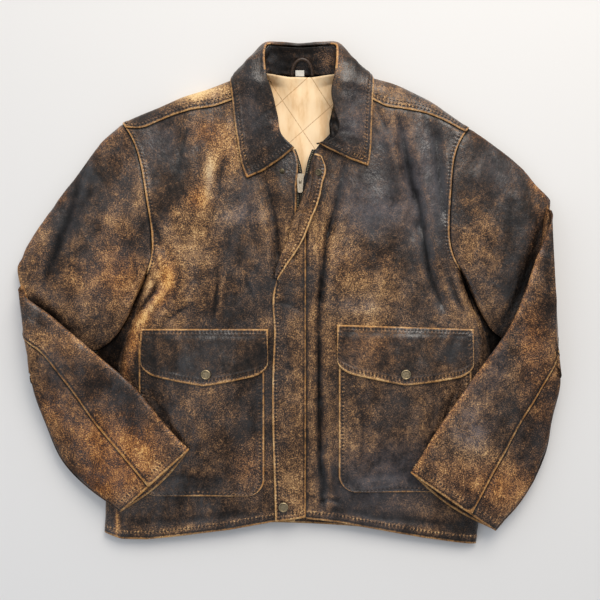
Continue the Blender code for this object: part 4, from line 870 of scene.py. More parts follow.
def buildBack(leftTop, rightTop, material):
    grid = backGrid(leftTop, rightTop)
    outer = grid[:, ::-1]  # the outer face looks down, so it is read from right to left
    column = np.arange(grid.shape[1])
    besideNeck = (column < len(rightTop)) | (column >= len(rightTop) + back["neckColumns"] - 2)
    besideNeck = np.broadcast_to(besideNeck, outer.shape[:2])
    x, y = outer[..., 0], outer[..., 1]
    onTop = np.arange(len(outer)) > len(outer) - len(back["topReach"])
    creases = creaseField(x, y, frontCreases) * onTop[:, None]
    beyond = np.maximum(lineAtY(outlines["sideLeft"], y) - x, x - lineAtY(outlines["sideRight"], y))
    creases = creases - 4 * smoothStep(beyond / 3) * (y < 40)  # the sagging side lies in the arm's shadow
    overShoulder = np.broadcast_to(onTop[:, None], outer.shape[:2])
    seams = (("last", 5, besideNeck), ("first", 10, None),
             ("left", 4.5, overShoulder), ("right", 4.5, overShoulder))
    face, values = dressed(outer, seams, bodyWearAndSheen, creases=creases, lines=(("first", 11.5, 0.2),))
    stitchRuns.append((face, "last", 10.5, besideNeck))  # the shoulder seam's second row
    clothPiece("back", face, bodyForm["wall"], material, values)
    return grid


sleeves = {
    # edge 1 runs on from the shoulder, edge 2 from the underarm:
    # x, y, z of edge 1, x, y, z of edge 2, half thickness, turn over the elbow fold in degrees, place of the
    # under seam across. foldBow: how far the fold's outline bows out at a share of its length
    "left": {"side": -1, "foldBow": ((0, -3), (0.14, -1), (0.38, -3), (0.62, -5), (0.86, -5), (1, -3)),
             "cut": {"upper": (320, 570, 0.84), "under": (72, 550, 0.84)}, "table": (
        (-285, 224, 14, -230, -4, 14, 14, 0, .4), (-319, 178, 14, -247, -42, 13, 13, 0, .4),
        (-352, 133, 14, -271, -74, 13, 13, 0, .4), (-385, 88, 13, -309, -93, 12, 12, 0, .4),
        (-402, 55, 12, -352, -104, 11, 11, 0, .4), (-407, 30, 15, -374, -106, 13, 8, 0, .4),
        (-403.5, 13, 23, -388.5, -108, 22, 4.5, 90, .4),
        (-350, -36, 37, -381, -148, 27, 10, 180, .52), (-286, -90, 38.5, -366, -194, 22, 10.5, 180, .52),
        (-230, -138, 39, -342, -250, 20, 10.5, 180, .5), (-184, -194, 39, -301, -292, 24, 10, 180, .49),
        (-149, -232, 38, -251, -326, 28, 9, 180, .42))},
    "right": {"side": 1, "foldBow": ((0, -3), (0.1, -1), (0.18, 0), (0.32, -4), (0.46, -8), (0.6, -12),
                                     (0.73, -12.5), (0.86, -9.5), (1, -4)),
              "cut": {"upper": (345, 575, 0.84), "under": (50, 545, 0.84)}, "table": (
        (305, 224, 14, 275, -2, 14, 14, 0, .3), (343, 194, 14, 292, -36, 13, 13, 0, .3),
        (371, 163, 13, 312, -62, 12, 12, 0, .25), (393, 140, 12, 350, -80, 12, 11, 0, .2),
        (391, 128, 23, 402, -98, 22, 4.5, 90, .12),
        (363, 44, 37, 404, -135, 27, 10, 180, .2), (327, -47, 38.5, 393, -190, 22, 10.5, 180, .32),
        (270, -128, 39, 383, -244, 20, 10.5, 180, .39), (218, -203, 39, 349, -308, 24, 10, 180, .37),
        (180, -266, 38, 307, -354, 28, 9, 180, .3))},
    "turns": (30, 60, 90, 120, 150), "foldRadius": 11.5, "foldSlide": 6.0,
    "foldPinch": (0.1, 0.4),  # how much of the fold's shift across shows at edge 1 and at edge 2
    "underarmShare": 0.02, "startHeight": 14.0,
    "near": (0.016, 0.012, 0.008, 0.004, 0.001),  # columns round the underarm seam, then how many elsewhere
    "rows": 170, "whole": 60, "half": 39, "under": 22,
    "cuffReach": 9.0, "cuffRun": 60.0,  # the cuff's lower layer shows beyond the upper
    "calmReach": 30, "foldWidth": 0.05, "foldWear": (0.08, 0.16), "elbowWear": 0.16,
    "foldGold": 0.7, "elbowGold": 0.6,
    "ceiling": 2.0,  # creases may rise this far over the CAD box
    "waves": ((0.8, 60, 11), (0.3, 26, 12)),
}
sleeveCreases = {
    "left": {
        "arm": (((-324, 140, -331, 112, -343, 80, -354, 50, -366, 22, -376, -6), 15, -2.3),
                ((-300, 214, -312, 180, -322, 140), 12, -1.3),
                ((-322, 200, -346, 130, -364, 84, -380, 44), 9, 1.6),
                ((-268, 150, -282, 110, -306, 60, -322, 22), 11, -0.9),
                ((-246, 100, -262, 64, -282, 26, -306, -10), 10, 0.9),
                ((-400, -8, -374, -26, -350, -38, -324, -64), 12, -2.6),
                ((-222, 40, -240, 4, -262, -30), 7, -0.8)),
        "forearm": (((-390, -30, -362, -50, -330, -66), 9, -0.8),
                    ((-372, -130, -340, -152, -310, -180), 10, 0.9),
                    ((-350, -90, -310, -124, -262, -150), 10, -0.8),
                    ((-352, -200, -320, -222, -290, -262), 9, -0.8),
                    ((-300, -232, -262, -262, -228, -290), 9, 0.8),
                    ((-240, -176, -216, -214, -190, -236), 8, -0.7))},
    "right": {
        "arm": (((300, 220, 318, 170, 330, 110, 336, 50), 12, -0.9),
                ((280, 200, 288, 140, 300, 90, 316, 40), 11, 0.8), ((346, 205, 362, 170, 372, 150), 7, 1.4),
                ((394, 128, 381, 106, 372, 86, 366, 62, 358, 38, 350, 14, 340, -10, 328, -34, 308, -58),
                 17, -3.2),
                ((352, 150, 350, 118, 340, 80, 330, 40), 13, -0.9), ((276, 120, 300, 92, 326, 84), 9, 0.9),
                ((262, 64, 276, 20, 292, -16), 9, 0.8)),
        "forearm": (((386, 108, 374, 78, 362, 36, 348, -6), 6, 2.0), ((384, 70, 380, 30, 384, -30), 8, -1.6),
                    ((352, 0, 344, -44, 330, -80), 9, -0.8), ((330, -90, 300, -130, 270, -160), 10, -0.8),
                    ((392, -150, 376, -200, 350, -240), 10, -0.8),
                    ((300, -150, 268, -190, 232, -220), 9, 0.8), ((350, -250, 318, -280, 292, -320), 8, 0.9))},
}
armWearAndSheen = (
    (-310, 160, 50, 80, -0.12, 0), (-270, 80, 40, 60, 0.07, 0.2), (-247, 25, 34, 44, 0.16, 0.6),
    (-306, 20, 50, 40, 0.08, 0.3), (-378, 70, 22, 80, 0.1, 0.2), (-250, 210, 30, 40, 0.04, 0.2),
    (310, 190, 50, 50, -0.1, -0.3), (-330, 120, 30, 60, -0.04, -0.2), (278, 80, 30, 50, 0.04, 0.1),
    (352, 120, 30, 60, -0.1, 0), (372, 60, 18, 90, 0.12, 0.5), (330, 20, 40, 60, -0.05, 0),
)
forearmWearAndSheen = (
    (266, -202, 20, 30, 0.14, -0.9), (-284, -215, 50, 40, 0.24, 0.9), (-239, -255, 50, 40, 0.18, 0.9),
    (-330, -70, 60, 40, 0.05, 0.3), (-346, -118, 28, 26, -0.14, 0), (-350, -175, 36, 40, 0.1, 0.6),
    (-209, -215, 40, 40, 0.08, 0.5), (-258, -140, 60, 40, 0.02, 0.3), (-300, -290, 60, 30, 0.16, 0.9),
    (296, -96, 34, 50, 0.04, -0.6), (268, -205, 30, 40, 0.09, -0.4), (356, -70, 30, 70, 0.12, 0.7),
    (320, -290, 60, 40, 0.14, 0.8), (388, -180, 40, 70, 0.04, 0.4), (240, -260, 50, 34, 0.05, 0.4),
)


def turned(axis, degrees):  # the upward direction turned about an axis
    axis = unit(axis)
    angle, up = math.radians(degrees), np.array([0, 0, 1.0])
    return (up * math.cos(angle) + np.cross(axis, up) * math.sin(angle)
            + axis * axis[2] * (1 - math.cos(angle)))


def sleeveFrames(which):
    frames, side = [], sleeves[which]["side"]
    for row in np.array(sleeves[which]["table"], float):
        edge1, edge2, half, turn, seam = row[:3], row[3:6], row[6], row[7], row[8]
        if turn != 90:
            frames.append((edge1, edge2, np.array([0, 0, 1.0 if turn == 0 else -1.0]), half, turn, seam, 0))
            continue
        for step in sleeves["turns"]:
            normal = turned(edge1 - edge2, -side * step)
            shift = (turned(edge1 - edge2, -side * 90) - normal) * sleeves["foldRadius"]
            slide = np.array([0, sleeves["foldSlide"] * (90 - step) / 60, 0])
            bow = side * math.sin(math.radians(step))
            ends = [edge + shift * (pinch, 1, 1) + slide
                    for edge, pinch in zip((edge1, edge2), sleeves["foldPinch"])]
            frames.append((*ends, normal, half, step, seam, bow))
    return frames


def fullness(share):  # of a flattened tube, across its width
    return (1 - np.abs(1 - 2 * np.asarray(share)) ** ring["power"]) ** (1 / ring["power"])


def ringShares(count):  # denser towards the two edges
    angle = np.linspace(0, math.pi, count)
    return (1 - np.sign(np.cos(angle)) * np.abs(np.cos(angle)) ** 0.72) / 2


def sleeveFace(which, sharesOf, front):  # rings from the armhole to the cuff, at shares from edge 2
    side, frames = sleeves[which]["side"], sleeveFrames(which)
    shares = sharesOf(frames[0][5])
    flat = armholePoint(armholes[which], shares)
    height = bodyTop(flat[:, 0], flat[:, 1]) if front else bodyUnder(flat[:, 0], flat[:, 1])
    height = np.where((shares <= 0) | (shares >= 1), bodyForm["edgeHeight"], height)
    rings = [np.column_stack([flat[:, 0] + side * bodyForm["seamGap"], flat[:, 1], height])]
    sign = 1 if front else -1
    for edge1, edge2, normal, half, _, seam, bow in frames:
        shares = sharesOf(seam)
        pinch = smoothStep(shares / 0.4) if bow else 1  # the fold is pinched flat
        thick = half * fullness(shares) * pinch
        points = edge2 + (edge1 - edge2) * shares[:, None] + normal * (sign * thick)[:, None]
        points[:, 0] += bow * np.interp(shares, *np.transpose(sleeves[which]["foldBow"]))
        rings.append(points)
    return np.array(rings)


def sleeveFaces(part):  # the shares from edge 2 that a piece's columns stand at, and whether on the front
    edge, near, under = sleeves["underarmShare"], sleeves["near"], sleeves["under"]
    half, whole = sleeves["half"], sleeves["whole"]
    if part == "under":
        return [(lambda seam: seam + (edge - seam) * np.linspace(0, 1, under), False)]
    far = ringShares(2 * half - 2)[:half]
    return [(lambda seam: np.array([edge, *near]), False), (lambda seam: ringShares(whole), True),
            (lambda seam: 1 - (1 - seam) * far[1:] / far[-1], False)]


def sleeveWear(grid, values, shareOf, up, forearm):
    fore = wearAndSheenValues(grid, forearmWearAndSheen)
    for key in fore:
        values[key] = mix(values[key], fore[key], forearm)
    # the arm's outer fold and the elbow's fold are rubbed brown
    folded, over = bump(1 - shareOf, sleeves["foldWidth"]) * up, np.sin(math.pi * forearm) ** 2
    values["worn"] += folded * mix(*sleeves["foldWear"], forearm) + sleeves["elbowWear"] * over
    golden = np.maximum(folded * sleeves["foldGold"], over * sleeves["elbowGold"])
    values["gold"] = np.maximum(values["gold"], golden)
    values["paintedSheen"] *= 1 - np.maximum(folded, over)


def buildSleeve(which, material):
    flip, frames, creases = sleeves[which]["side"] > 0, sleeveFrames(which), sleeveCreases[which]
    turns = np.array([0.0] + [f[4] for f in frames])
    start = (*armholePoint(armholes[which], 0.5), sleeves["startHeight"])
    at = along([start] + [(f[0] + f[1]) / 2 for f in frames])
    dense = np.interp(np.linspace(0, 1, sleeves["rows"]), *sleeveRowPlaces(at, turns))
    forearm = (np.interp(dense, at, turns) / 180)[:, None]
    elbowSeam, underarmSeam = ("left", "right") if flip else ("right", "left")
    for part in ("upper", "under"):
        faces = sleeveFaces(part)
        rings = np.concatenate([sleeveFace(which, shares, front) for shares, front in faces], axis=1)
        shareOf = np.concatenate([shares(0.4) for shares, _ in faces])
        isFront = np.concatenate([np.full(len(shares(0.4)), front) for shares, front in faces])
        grid = through(rings, at, dense)
        reach = sleeves["cuffReach"] * np.sin(math.pi * shareOf) * isFront
        late = smoothStep((dense - (at[-1] - sleeves["cuffRun"])) / sleeves["cuffRun"])
        grid = grid + unit(grid[-1] - grid[-4])[None] * (late[:, None] * reach[None])[..., None]
        if flip:
            grid, shareOf = grid[:, ::-1], shareOf[::-1]
        normals = gridNormals(grid)
        x, y = grid[..., 0], grid[..., 1]
        up = smoothStep(normals[..., 2] * 1.6 - 0.2)
        lift = mix(creaseField(x, y, creases["arm"]), creaseField(x, y, creases["forearm"]), forearm)
        calm = smoothStep(borderDistance(grid, ("first",)) / sleeves["calmReach"]) * up
        calm[0] = 0
        grid = grid + normals * ((lift + waves(x, y, sleeves["waves"])) * calm)[..., None]
        seams = [("last", 12, None)]
        if part == "upper":
            seams.insert(0, (elbowSeam, 5.5, None))
        grid, values = dressed(grid, seams, armWearAndSheen, sunk=("first", underarmSeam), creases=lift * up,
                               lines=(("last", 13.5, 0.2),))
        sleeveWear(grid, values, shareOf, up, forearm)
        grid[..., 2] = np.clip(grid[..., 2], 1.5 * floorGap, cadHigh[2] / mm + sleeves["ceiling"])
        clothPiece(f"sleeve_{which}_{part}", grid, bodyForm["wall"], material,
                   values)


def sleeveRowPlaces(at, turns):  # more rows where the sleeve turns over at the elbow
    first, last = np.argmax(turns > 0) - 1, np.argmax(turns >= 180)
    stops = np.array([0.0, at[first], at[last], at[-1]])
    dense = np.diff(stops) * (1.0, 2.2, 1.0)
    return np.concatenate([[0.0], np.cumsum(dense) / dense.sum()]), stops


collar = {
    # along its length: roll, crest, turn and outer edge, each x, y and height; heights of "laid"
    # sections are above the fronts, those of "free" sections above the floor
    "sections": (
        ("laid", (7, 215, 7), (-14, 198, 6), (-38, 182, 4.5), (-63, 171, 3.4)),
        ("laid", (-10, 231, 11), (-28, 219, 9), (-49, 203, 6), (-69, 186, 3.4)),
        ("laid", (-18, 262, 13), (-36, 255, 11), (-58, 244, 7), (-78, 232, 3.4)),
        ("laid", (-28, 303, 14), (-46, 301, 12), (-68, 296, 8), (-85, 290, 3.4)),
        ("laid", (-33, 317, 14.5), (-55, 315, 13.5), (-75, 311, 9.5), (-87, 307, 4.2)),
        ("free", (-35, 328, 41), (-62, 325, 38), (-80, 321, 32), (-88, 317, 24)),
        ("free", (-37, 348, 38), (-63, 346, 32), (-77, 338, 16), (-82, 330, 2)),
        ("free", (-37, 362, 35), (-56, 358, 20), (-63, 347, 3), (-62, 325, 0)),
        ("free", (-33, 371, 31), (-40, 375, 16), (-42, 365, 0), (-46, 320, 0)),
        ("free", (-14, 372, 27), (-15, 378, 14), (-15, 369, 0), (-14, 316, 0)),
        ("free", (16, 371, 25), (16, 376, 13), (16, 368, 0), (16, 315, 0)),
        ("free", (46, 372, 27), (47, 378, 14), (47, 369, 0), (46, 316, 0)),
        ("free", (68, 371, 31), (76, 375, 16), (76, 364, 0), (80, 321, 0)),
        ("free", (71, 362, 35), (93, 356, 20), (100, 345, 3), (98, 327, 0)),
        ("free", (70, 348, 38), (98, 346, 32), (113, 338, 16), (119, 333, 2)),
        ("free", (68, 328, 41), (96, 326, 38), (116, 323, 33), (125, 318, 28)),
        ("laid", (66, 317, 14.5), (88, 314, 13.5), (110, 310, 10), (125, 306, 4.2)),
        ("laid", (63, 303, 14), (82, 301, 12), (106, 297, 8), (124, 291, 3.4)),
        ("laid", (68, 268, 13), (83, 261, 11), (101, 252, 7), (122, 245, 3.4)),
        ("laid", (74, 243, 11), (85, 236, 9), (101, 226, 6), (121, 216, 3.4)),
        ("laid", (65, 228, 9.5), (77, 221, 8), (98, 209, 5.5), (119, 200, 3.4)),
        ("laid", (43, 222, 7), (62, 212, 6), (90, 199, 4.5), (117, 189, 3.4))),
    "wall": 2.4, "standWall": 1.6, "standSetback": 5.0, "cornerRise": 7.0, "rows": 190, "columns": 46,
    "waves": ((0.3, 34, 21),), "standWaves": (((0.9, 15, 31),), ((0.5, 9, 32),)),
    "crumpled": (2.0, 6, 0.8, -0.4), "room": 2.0, "rolled": (330, 17, 44), "standBase": 0.36,
    "stitchWay": 8.5, "middle": 16.0, "corner": 45,  # x of the neck's middle; its corners start this far out
    "shown": (247, 25, -18.0),  # where the stand bulges out of the roll at the right: y, reach, how far
    "creases": (((-58, 246, -40, 262, -26, 272), 4, -0.7), ((-52, 232, -36, 246, -20, 254), 4, 0.6),
                ((-60, 214, -40, 222, -24, 232), 5, -0.4), ((-74, 306, -56, 300, -40, 306), 7, 0.4),
                ((104, 286, 88, 278, 74, 280), 6, -0.5), ((106, 262, 92, 262, 74, 254), 6, 0.5),
                ((100, 236, 84, 240, 70, 240), 4, -0.7), ((96, 216, 82, 224, 66, 230), 4, 0.6),
                ((-66, 340, -46, 344, -40, 356), 5, -0.6), ((100, 340, 82, 348, 76, 360), 5, -0.6),
                ((10, 377, 14, 366, 18, 356), 6, -0.7)),
}
collarWearAndSheen = ((-50, 360, 24, 16, 0.16, 0.4), (80, 360, 22, 14, 0.02, 0.2), (72, 345, 8, 30, 0.24, 0.5),
              (-30, 375, 18, 6, 0.36, 0.8), (-2, 378, 16, 4, 0.26, 0.7), (50, 377, 26, 4, 0.16, 0.5),
              (-19, 246, 10, 12, 0.3, 0.6), (-62, 176, 8, 8, 0.2, 0.5), (112, 194, 10, 8, 0.14, 0.2),
              (98, 262, 22, 40, -0.02, -0.7), (-60, 262, 20, 40, -0.04, -0.3), (100, 200, 20, 10, 0.06, 0.1))
standWear = ((56, 346, 16, 16, 0.26, 0.2), (20, 356, 40, 8, 0.08, 0.1), (-20, 340, 20, 20, -0.08, 0))


def collarCoarse():
    points = []
    for kind, *section in collar["sections"]:
        section = np.array(section, float)
        if kind == "laid":
            section[:, 2] += bodyTop(section[:, 0], section[:, 1])
        points.append(section)
    return np.array(points)  # section, line (roll, crest, turn, edge), xyz


def buildFall(lines, material):
    roll, crest, turn, edge = lines
    rows = np.stack([edge, (edge + turn) / 2, turn, (turn + crest) / 2, crest, roll], axis=1)
    grid = refine(rows, collar["rows"], collar["columns"])
    normals = gridNormals(grid)
    up = smoothStep(normals[..., 2] * 1.5)
    x, y = grid[..., 0], grid[..., 1]
    sewn = borderDistance(grid, ("first", "last", "left"))
    # only the crest's two ends are rubbed along the inner edge, not the roll at the front
    fromY, middle, far = collar["rolled"]
    rolled = np.broadcast_to((y[:, -1:] > fromY) & (np.abs(x[:, -1:] - middle) > far), x.shape)
    lift = (creaseField(x, y, collar["creases"]) + waves(x, y, collar["waves"])) * up
    lift *= smoothStep(sewn / 14)
    grid, values = dressed(grid + normals * lift[..., None],
                           [(border, collar["stitchWay"], None) for border in ("first", "last", "left")]
                           + [("right", 0, rolled)], collarWearAndSheen, creases=lift)
    grid[..., 2] = np.maximum(grid[..., 2], 0.1)
    clothPiece("collar_fall", grid, collar["wall"], material,
               values)


def standFeet(roll, edge):  # where the stand meets the neck seam
    feet = []
    for (kind, *_), top, far in zip(collar["sections"], roll, edge):
        if kind == "laid":
            away = unit((far - top)[:2])
            shown = bump(top[1] - collar["shown"][0], collar["shown"][1]) if top[0] > collar["middle"] else 0
            foot = top[:2] + away * mix(collar["standSetback"], collar["shown"][2], shown)
            feet.append((*foot, float(bodyTop(*foot)) + 0.9))
        else:
            near = min(back["neck"], key=lambda entry: abs(entry[2] - top[0]))
            corner = abs(top[0] - collar["middle"]) > collar["corner"]
            feet.append((near[2] if corner else top[0], near[3] + 1.0,
                         near[4] + (collar["cornerRise"] if corner else 0.6)))
    return np.array(feet)


def buildStand(lines, material):
    roll, crest, _, edge = lines
    feet, lean = standFeet(roll, edge), unit(crest - roll)
    level = np.column_stack([-lean[:, 1], lean[:, 0], np.zeros(len(lean))])
    face = unit(np.cross(level, lean))
    face *= np.where(face[:, 2:] < 0, -1, 1)
    tops = roll - face * (collar["wall"] + collar["room"]) + lean
    stand = refine(np.stack([tops, (tops + feet) / 2, feet], axis=1), collar["rows"], 26)
    normals = gridNormals(stand)
    x, y, z = (stand[..., k] for k in range(3))
    strong, weak = collar["standWaves"]
    more, calm, share, sink = collar["crumpled"]
    crumple = waves(y, z * 1.5, strong) + waves(x, y, weak)
    crumple *= 1 + more * bump(y - collar["shown"][0], collar["shown"][1]) * (x > collar["middle"])
    crumple *= smoothStep(borderDistance(stand, ("left", "right")) / calm)
    stand = stand + normals * (crumple * share + sink)[..., None]
    stand, values = dressed(stand, (), standWear, collar["standBase"],
                            sunk=("right",), creases=crumple * 0.5)
    clothPiece("collar_stand", stand, collar["standWall"], material,
               values)


stormFlap = {
    # y, seam x, left fold x, edge x, height of the turned-back edge
    "turned": ((206, 43, 37.5, 48, 5.0), (186, 37, 32, 54, 7.0), (166, 32, 28.5, 49, 8.0),
               (146, 26, 22.5, 45, 8.0), (130, 25.2, 17, 40, 8.0), (114, 24.7, 9, 33, 8.5),
               (98, 24.7, 4, 27, 8.5), (82, 24.7, 0, 20, 8.0), (62, 24.7, -8, 8, 6.5),
               (43, 24.7, -15, -5, 4.5), (22, 24.7, -20, -18, 2.6)),
    "low": ((0, -23.5), (-60, -22.5), (-120, -25), (-200, -25), (-270, -23), (-342, -21)),
    "footRise": (-300, 6.0), "layGap": 0.5, "rows": 210, "columns": 44,
    "waves": ((0.45, 34, 41),), "seamX": 24.7, "seamRise": (110, 3.0),
    "across": (0.0, 0.22, 0.42, 0.62, 0.82, 1.0), "slope": 2.6,
    "foldRoom": 0.4, "lowShare": 0.4, "over": ((0.3, 1, 0.4), (0.65, 2, 0.7)),  # share across, down, settled
    "creases": (((-20, -12, 4, -18, 22, -30), 4, -0.9), ((-22, -300, 0, -310, 22, -322), 5, 0.9),
                ((-20, -326, 4, -330, 22, -338), 4, -0.8), ((-18, -180, 2, -186, 20, -182), 6, 0.5),
                ((-6, -80, 4, -130, 2, -190), 6, -0.5), ((30, 120, 24, 118, 8, 123), 3, -1.2),
                ((12, 60, 6, 52, -4, 50), 4, -1.2), ((34, 196, 33, 160, 27, 126), 3, -1.3),
                ((42, 190, 40, 156, 33, 122), 3.5, 1.0), ((22, 124, 14, 96, 4, 72), 3, -1.2),
                ((28, 118, 20, 90, 10, 66), 3, 0.9)),
}
flapWear = ((-4, 60, 20, 40, 0.05, 0.2), (34, 130, 14, 60, 0.05, 0.2), (0, -180, 30, 120, 0.06, 0.1),
            (30, -330, 40, 30, 0.12, 0.2))


def stormFlapCoarse():
    form, wall, rows = stormFlap, bodyForm["wall"], []
    lying = wall + form["layGap"] + form["foldRoom"]
    for y, seamX, foldX, edgeX, lift in form["turned"]:
        lowX = mix(seamX, foldX, form["lowShare"])
        seam = (seamX, y, bodyTop(seamX, y) + (form["seamRise"][1] if y > form["seamRise"][0] else 0.0))
        low = (lowX, y, bodyTop(lowX, y) + lying)
        fold = (foldX, y, bodyTop(foldX, y) + lying + lift / 2)
        edge = (edgeX, y - 4, bodyTop(edgeX, y) + wall + lift)
        over = [(mix(foldX, edgeX, s), y - d, mix(fold[2] + lift / 2, edge[2], k)) for s, d, k in form["over"]]
        rows.append([seam, low, fold, *over, edge])
    for y, edgeX in form["low"]:
        line = []
        for share in form["across"]:
            x = mix(form["seamX"], edgeX, share)
            level = y + (form["footRise"][1] * (1 - share) if y < form["footRise"][0] else 0)
            height = bodyTop(x, level) + (wall + form["layGap"]) * smoothStep(share * form["slope"])
            line.append((x, level, height + (wall if share else 0.0)))
        rows.append(line)
    return np.array(rows, float)


def buildStormFlap(material):
    grid = refine(stormFlapCoarse(), stormFlap["rows"], stormFlap["columns"])
    normals = gridNormals(grid)
    x, y = grid[..., 0], grid[..., 1]
    free = borderDistance(grid, ("first", "last", "right"))
    sewn = borderDistance(grid, ("left",))
    outside = np.sign(normals[..., 2])  # the turned-back part shows its underside
    lift = (creaseField(x, y, stormFlap["creases"]) + waves(x, y, stormFlap["waves"])) * smoothStep(free / 10)
    grid = grid + normals * (lift * outside * smoothStep(sewn / 5))[..., None]
    grid, values = dressed(grid, (("first", 5, None), ("last", 9, None), ("right", 5, None), ("left", 0, None)),
                           flapWear, 0.40, 0.8, creases=lift, lines=(("left", 0.5, -0.4), ("right", 1.2, 0.12)))
    clothPiece("storm_flap", grid, bodyForm["wall"], material,
               values)


pockets = {
    "left": {"x": (-225, -38), "top": -72, "foot": -304, "corner": 26,
             "flap": {"x": (-222, -32), "top": -54, "side": -104, "point": -138, "tilt": 0.0}},
    "right": {"x": (74, 272), "top": -68, "foot": -298, "corner": 26,
              "flap": {"x": (71, 275), "top": -51, "side": -104, "point": -137, "tilt": 3.5}},
    "puff": 8.0, "puffReach": (66.0, 120.0), "heldDown": (60, 0.6), "layGap": 0.5,
    "waves": ((0.7, 70, 51), (0.3, 28, 52)), "flapWaves": ((0.5, 44, 61),), "calmReach": 20,
    "hem": (0.6, 18, 4),  # the mouth's turned hem: height, way in, reach
    "base": 0.38, "flapBase": 0.29,  # how rubbed where no spot of wear lies
    "flapCorner": (16, 0.74), "flapBow": 1.15, "flapRise": (6, 24), "flapRoom": 0.8,
    # border, way in and strength of the flap's rubbed lines
    "flapLines": (("first", 3.0, 0.36), ("left", 2.8, 0.24), ("right", 2.8, 0.24), ("last", 12, -0.1)),
}
pocketCreases = (
    ((-210, -150, -180, -190, -170, -250), 9, -1.3), ((-190, -140, -150, -170, -120, -230), 9, 1.2),
    ((-90, -150, -96, -210, -84, -270), 8, -1.1), ((-60, -140, -66, -200, -60, -260), 7, 0.9),
    ((-215, -284, -160, -276, -100, -284), 7, -0.9), ((100, -150, 110, -200, 104, -262), 8, -1.2),
    ((150, -146, 158, -200, 150, -266), 9, 1.1), ((250, -140, 232, -190, 236, -250), 8, -1.4),
    ((212, -150, 198, -200, 206, -256), 8, 1.0), ((90, -280, 150, -272, 230, -282), 7, -0.9),
)
flapCreases = (
    ((-206, -60, -200, -84, -204, -112), 5, -0.9), ((-60, -60, -66, -90, -58, -116), 5, -0.8),
    ((-170, -62, -160, -90, -150, -118), 6, 0.8), ((-100, -60, -104, -90, -108, -118), 6, 0.7),
    ((250, -60, 240, -82, 246, -112), 5, -1.2), ((262, -64, 254, -88, 262, -110), 4, 0.9),
    ((232, -60, 226, -84, 228, -116), 5, 0.8), ((96, -58, 102, -84, 98, -110), 5, -0.8),
    ((140, -60, 148, -88, 156, -118), 6, 0.6),
)


def pocketPuff(x, y, which):
    left, right = pockets[which]["x"]
    aside, above = pockets["puffReach"]
    flapReach, flatter = pockets["heldDown"]  # where the flap holds it down
    mouth = 1 - flatter * smoothStep((y - pockets[which]["top"] + flapReach) / flapReach)
    return (pockets["puff"] * smoothStep(np.minimum(x - left, right - x) / aside)
            * smoothStep((y - pockets[which]["foot"]) / above) * mouth)


def buildPocket(which, material):
    form = pockets[which]
    (left, right), top, foot, radius = form["x"], form["top"], form["foot"], form["corner"]
    angles = np.linspace(0, math.pi / 2, 14)
    y = np.concatenate([np.linspace(top, foot + radius, 90)[:-1], foot + radius * (1 - np.sin(angles))])[::-1]
    tuck = radius - np.sqrt(np.maximum(radius**2 - np.maximum(foot + radius - y, 0) ** 2, 0))
    tuck = np.minimum(tuck, radius * 0.9)
    inward = np.array([0, 0.5, 1.5, 3, 5, 7.5, 10])
    width = (right - left) - 2 * tuck
    middle = np.linspace(0, 1, 82)[1:-1]
    x = np.concatenate([left + tuck[:, None] + inward,
                        left + tuck[:, None] + inward[-1] + middle * (width[:, None] - 2 * inward[-1]),
                        right - tuck[:, None] - inward[::-1]], axis=1)
    y = np.broadcast_to(y[:, None], x.shape)
    lying = pockets["layGap"] + bodyForm["wall"]
    grid = np.dstack([x, y, bodyTop(x, y) + lying + pocketPuff(x, y, which)])
    sewn = borderDistance(grid, ("first", "left", "right"))
    mouth = borderDistance(grid, ("last",))
    creases, (hem, start, run) = creaseField(x, y, pocketCreases), pockets["hem"]
    grid[..., 2] += (creases + waves(x, y, pockets["waves"])) * smoothStep(sewn / pockets["calmReach"])
    grid[..., 2] += hem * (1 - smoothStep((mouth - start) / run))
    grid, values = dressed(grid, (("first", 6, None), ("left", 6, None), ("right", 6, None), ("last", 0, None)),
                           bodyWearAndSheen, pockets["base"], creases=creases)
    clothPiece(f"pocket_{which}", grid, bodyForm["wall"], material, values)


def buildFlap(which, material):
    form = pockets[which]["flap"]
    left, right = form["x"]
    middle, half = (left + right) / 2, (right - left) / 2
    share = np.concatenate([np.array([0, 0.003, 0.008, 0.016, 0.027, 0.04]), np.linspace(0.055, 0.945, 78),
                            1 - np.array([0.04, 0.027, 0.016, 0.008, 0.003, 0])])
    down = np.linspace(0, 1, 46)[::-1]
    x = mix(left, right, share)[None].repeat(len(down), axis=0)
    out = np.abs(x - middle) / half
    radius, start = pockets["flapCorner"]
    foot = mix(form["point"], form["side"] - radius, out ** pockets["flapBow"])
    corner = np.clip((out - start) / (1 - start), 0, 1)
    foot = foot + (1 - np.sqrt(1 - corner**2)) * radius
    y = form["top"] + (foot - form["top"]) * down[:, None] - form["tilt"] * (x - middle) / half
    lying, wall = pockets["layGap"], bodyForm["wall"]
    before, run = pockets["flapRise"]
    over = pocketPuff(x, y, which) + wall + lying + pockets["flapRoom"]
    rise = lying + wall + over * smoothStep((form["top"] + before - y) / run)
    grid = np.dstack([x, y, bodyTop(x, y) + rise])
    sewn = borderDistance(grid, ("last",))
    creases = creaseField(x, y, flapCreases)
    grid[..., 2] += (creases + waves(x, y, pockets["flapWaves"])) * smoothStep(sewn / 10)
    grid, values = dressed(grid, (("first", 7, None), ("left", 7, None), ("right", 7, None), ("last", 5, None)),
                           bodyWearAndSheen, pockets["flapBase"], creases=creases, lines=pockets["flapLines"])
    clothPiece(f"pocket_flap_{which}", grid, wall, material,
               values)


tapes = {
    "width": 11.0, "length": 552, "drop": 1.4, "wall": 1.0, "y": (-336, 214),
    # the open part above the slider: y, x of the toothed edge
    "open": {-1: ((158, 15.4), (172, 17.0), (180, 19.0), (190, 17.2), (200, 14.2), (214, 9.6)),
             1: ((158, 16.6), (169, 20.5), (176, 23.0), (186, 25.0), (199, 28.0), (214, 33.5))},
}


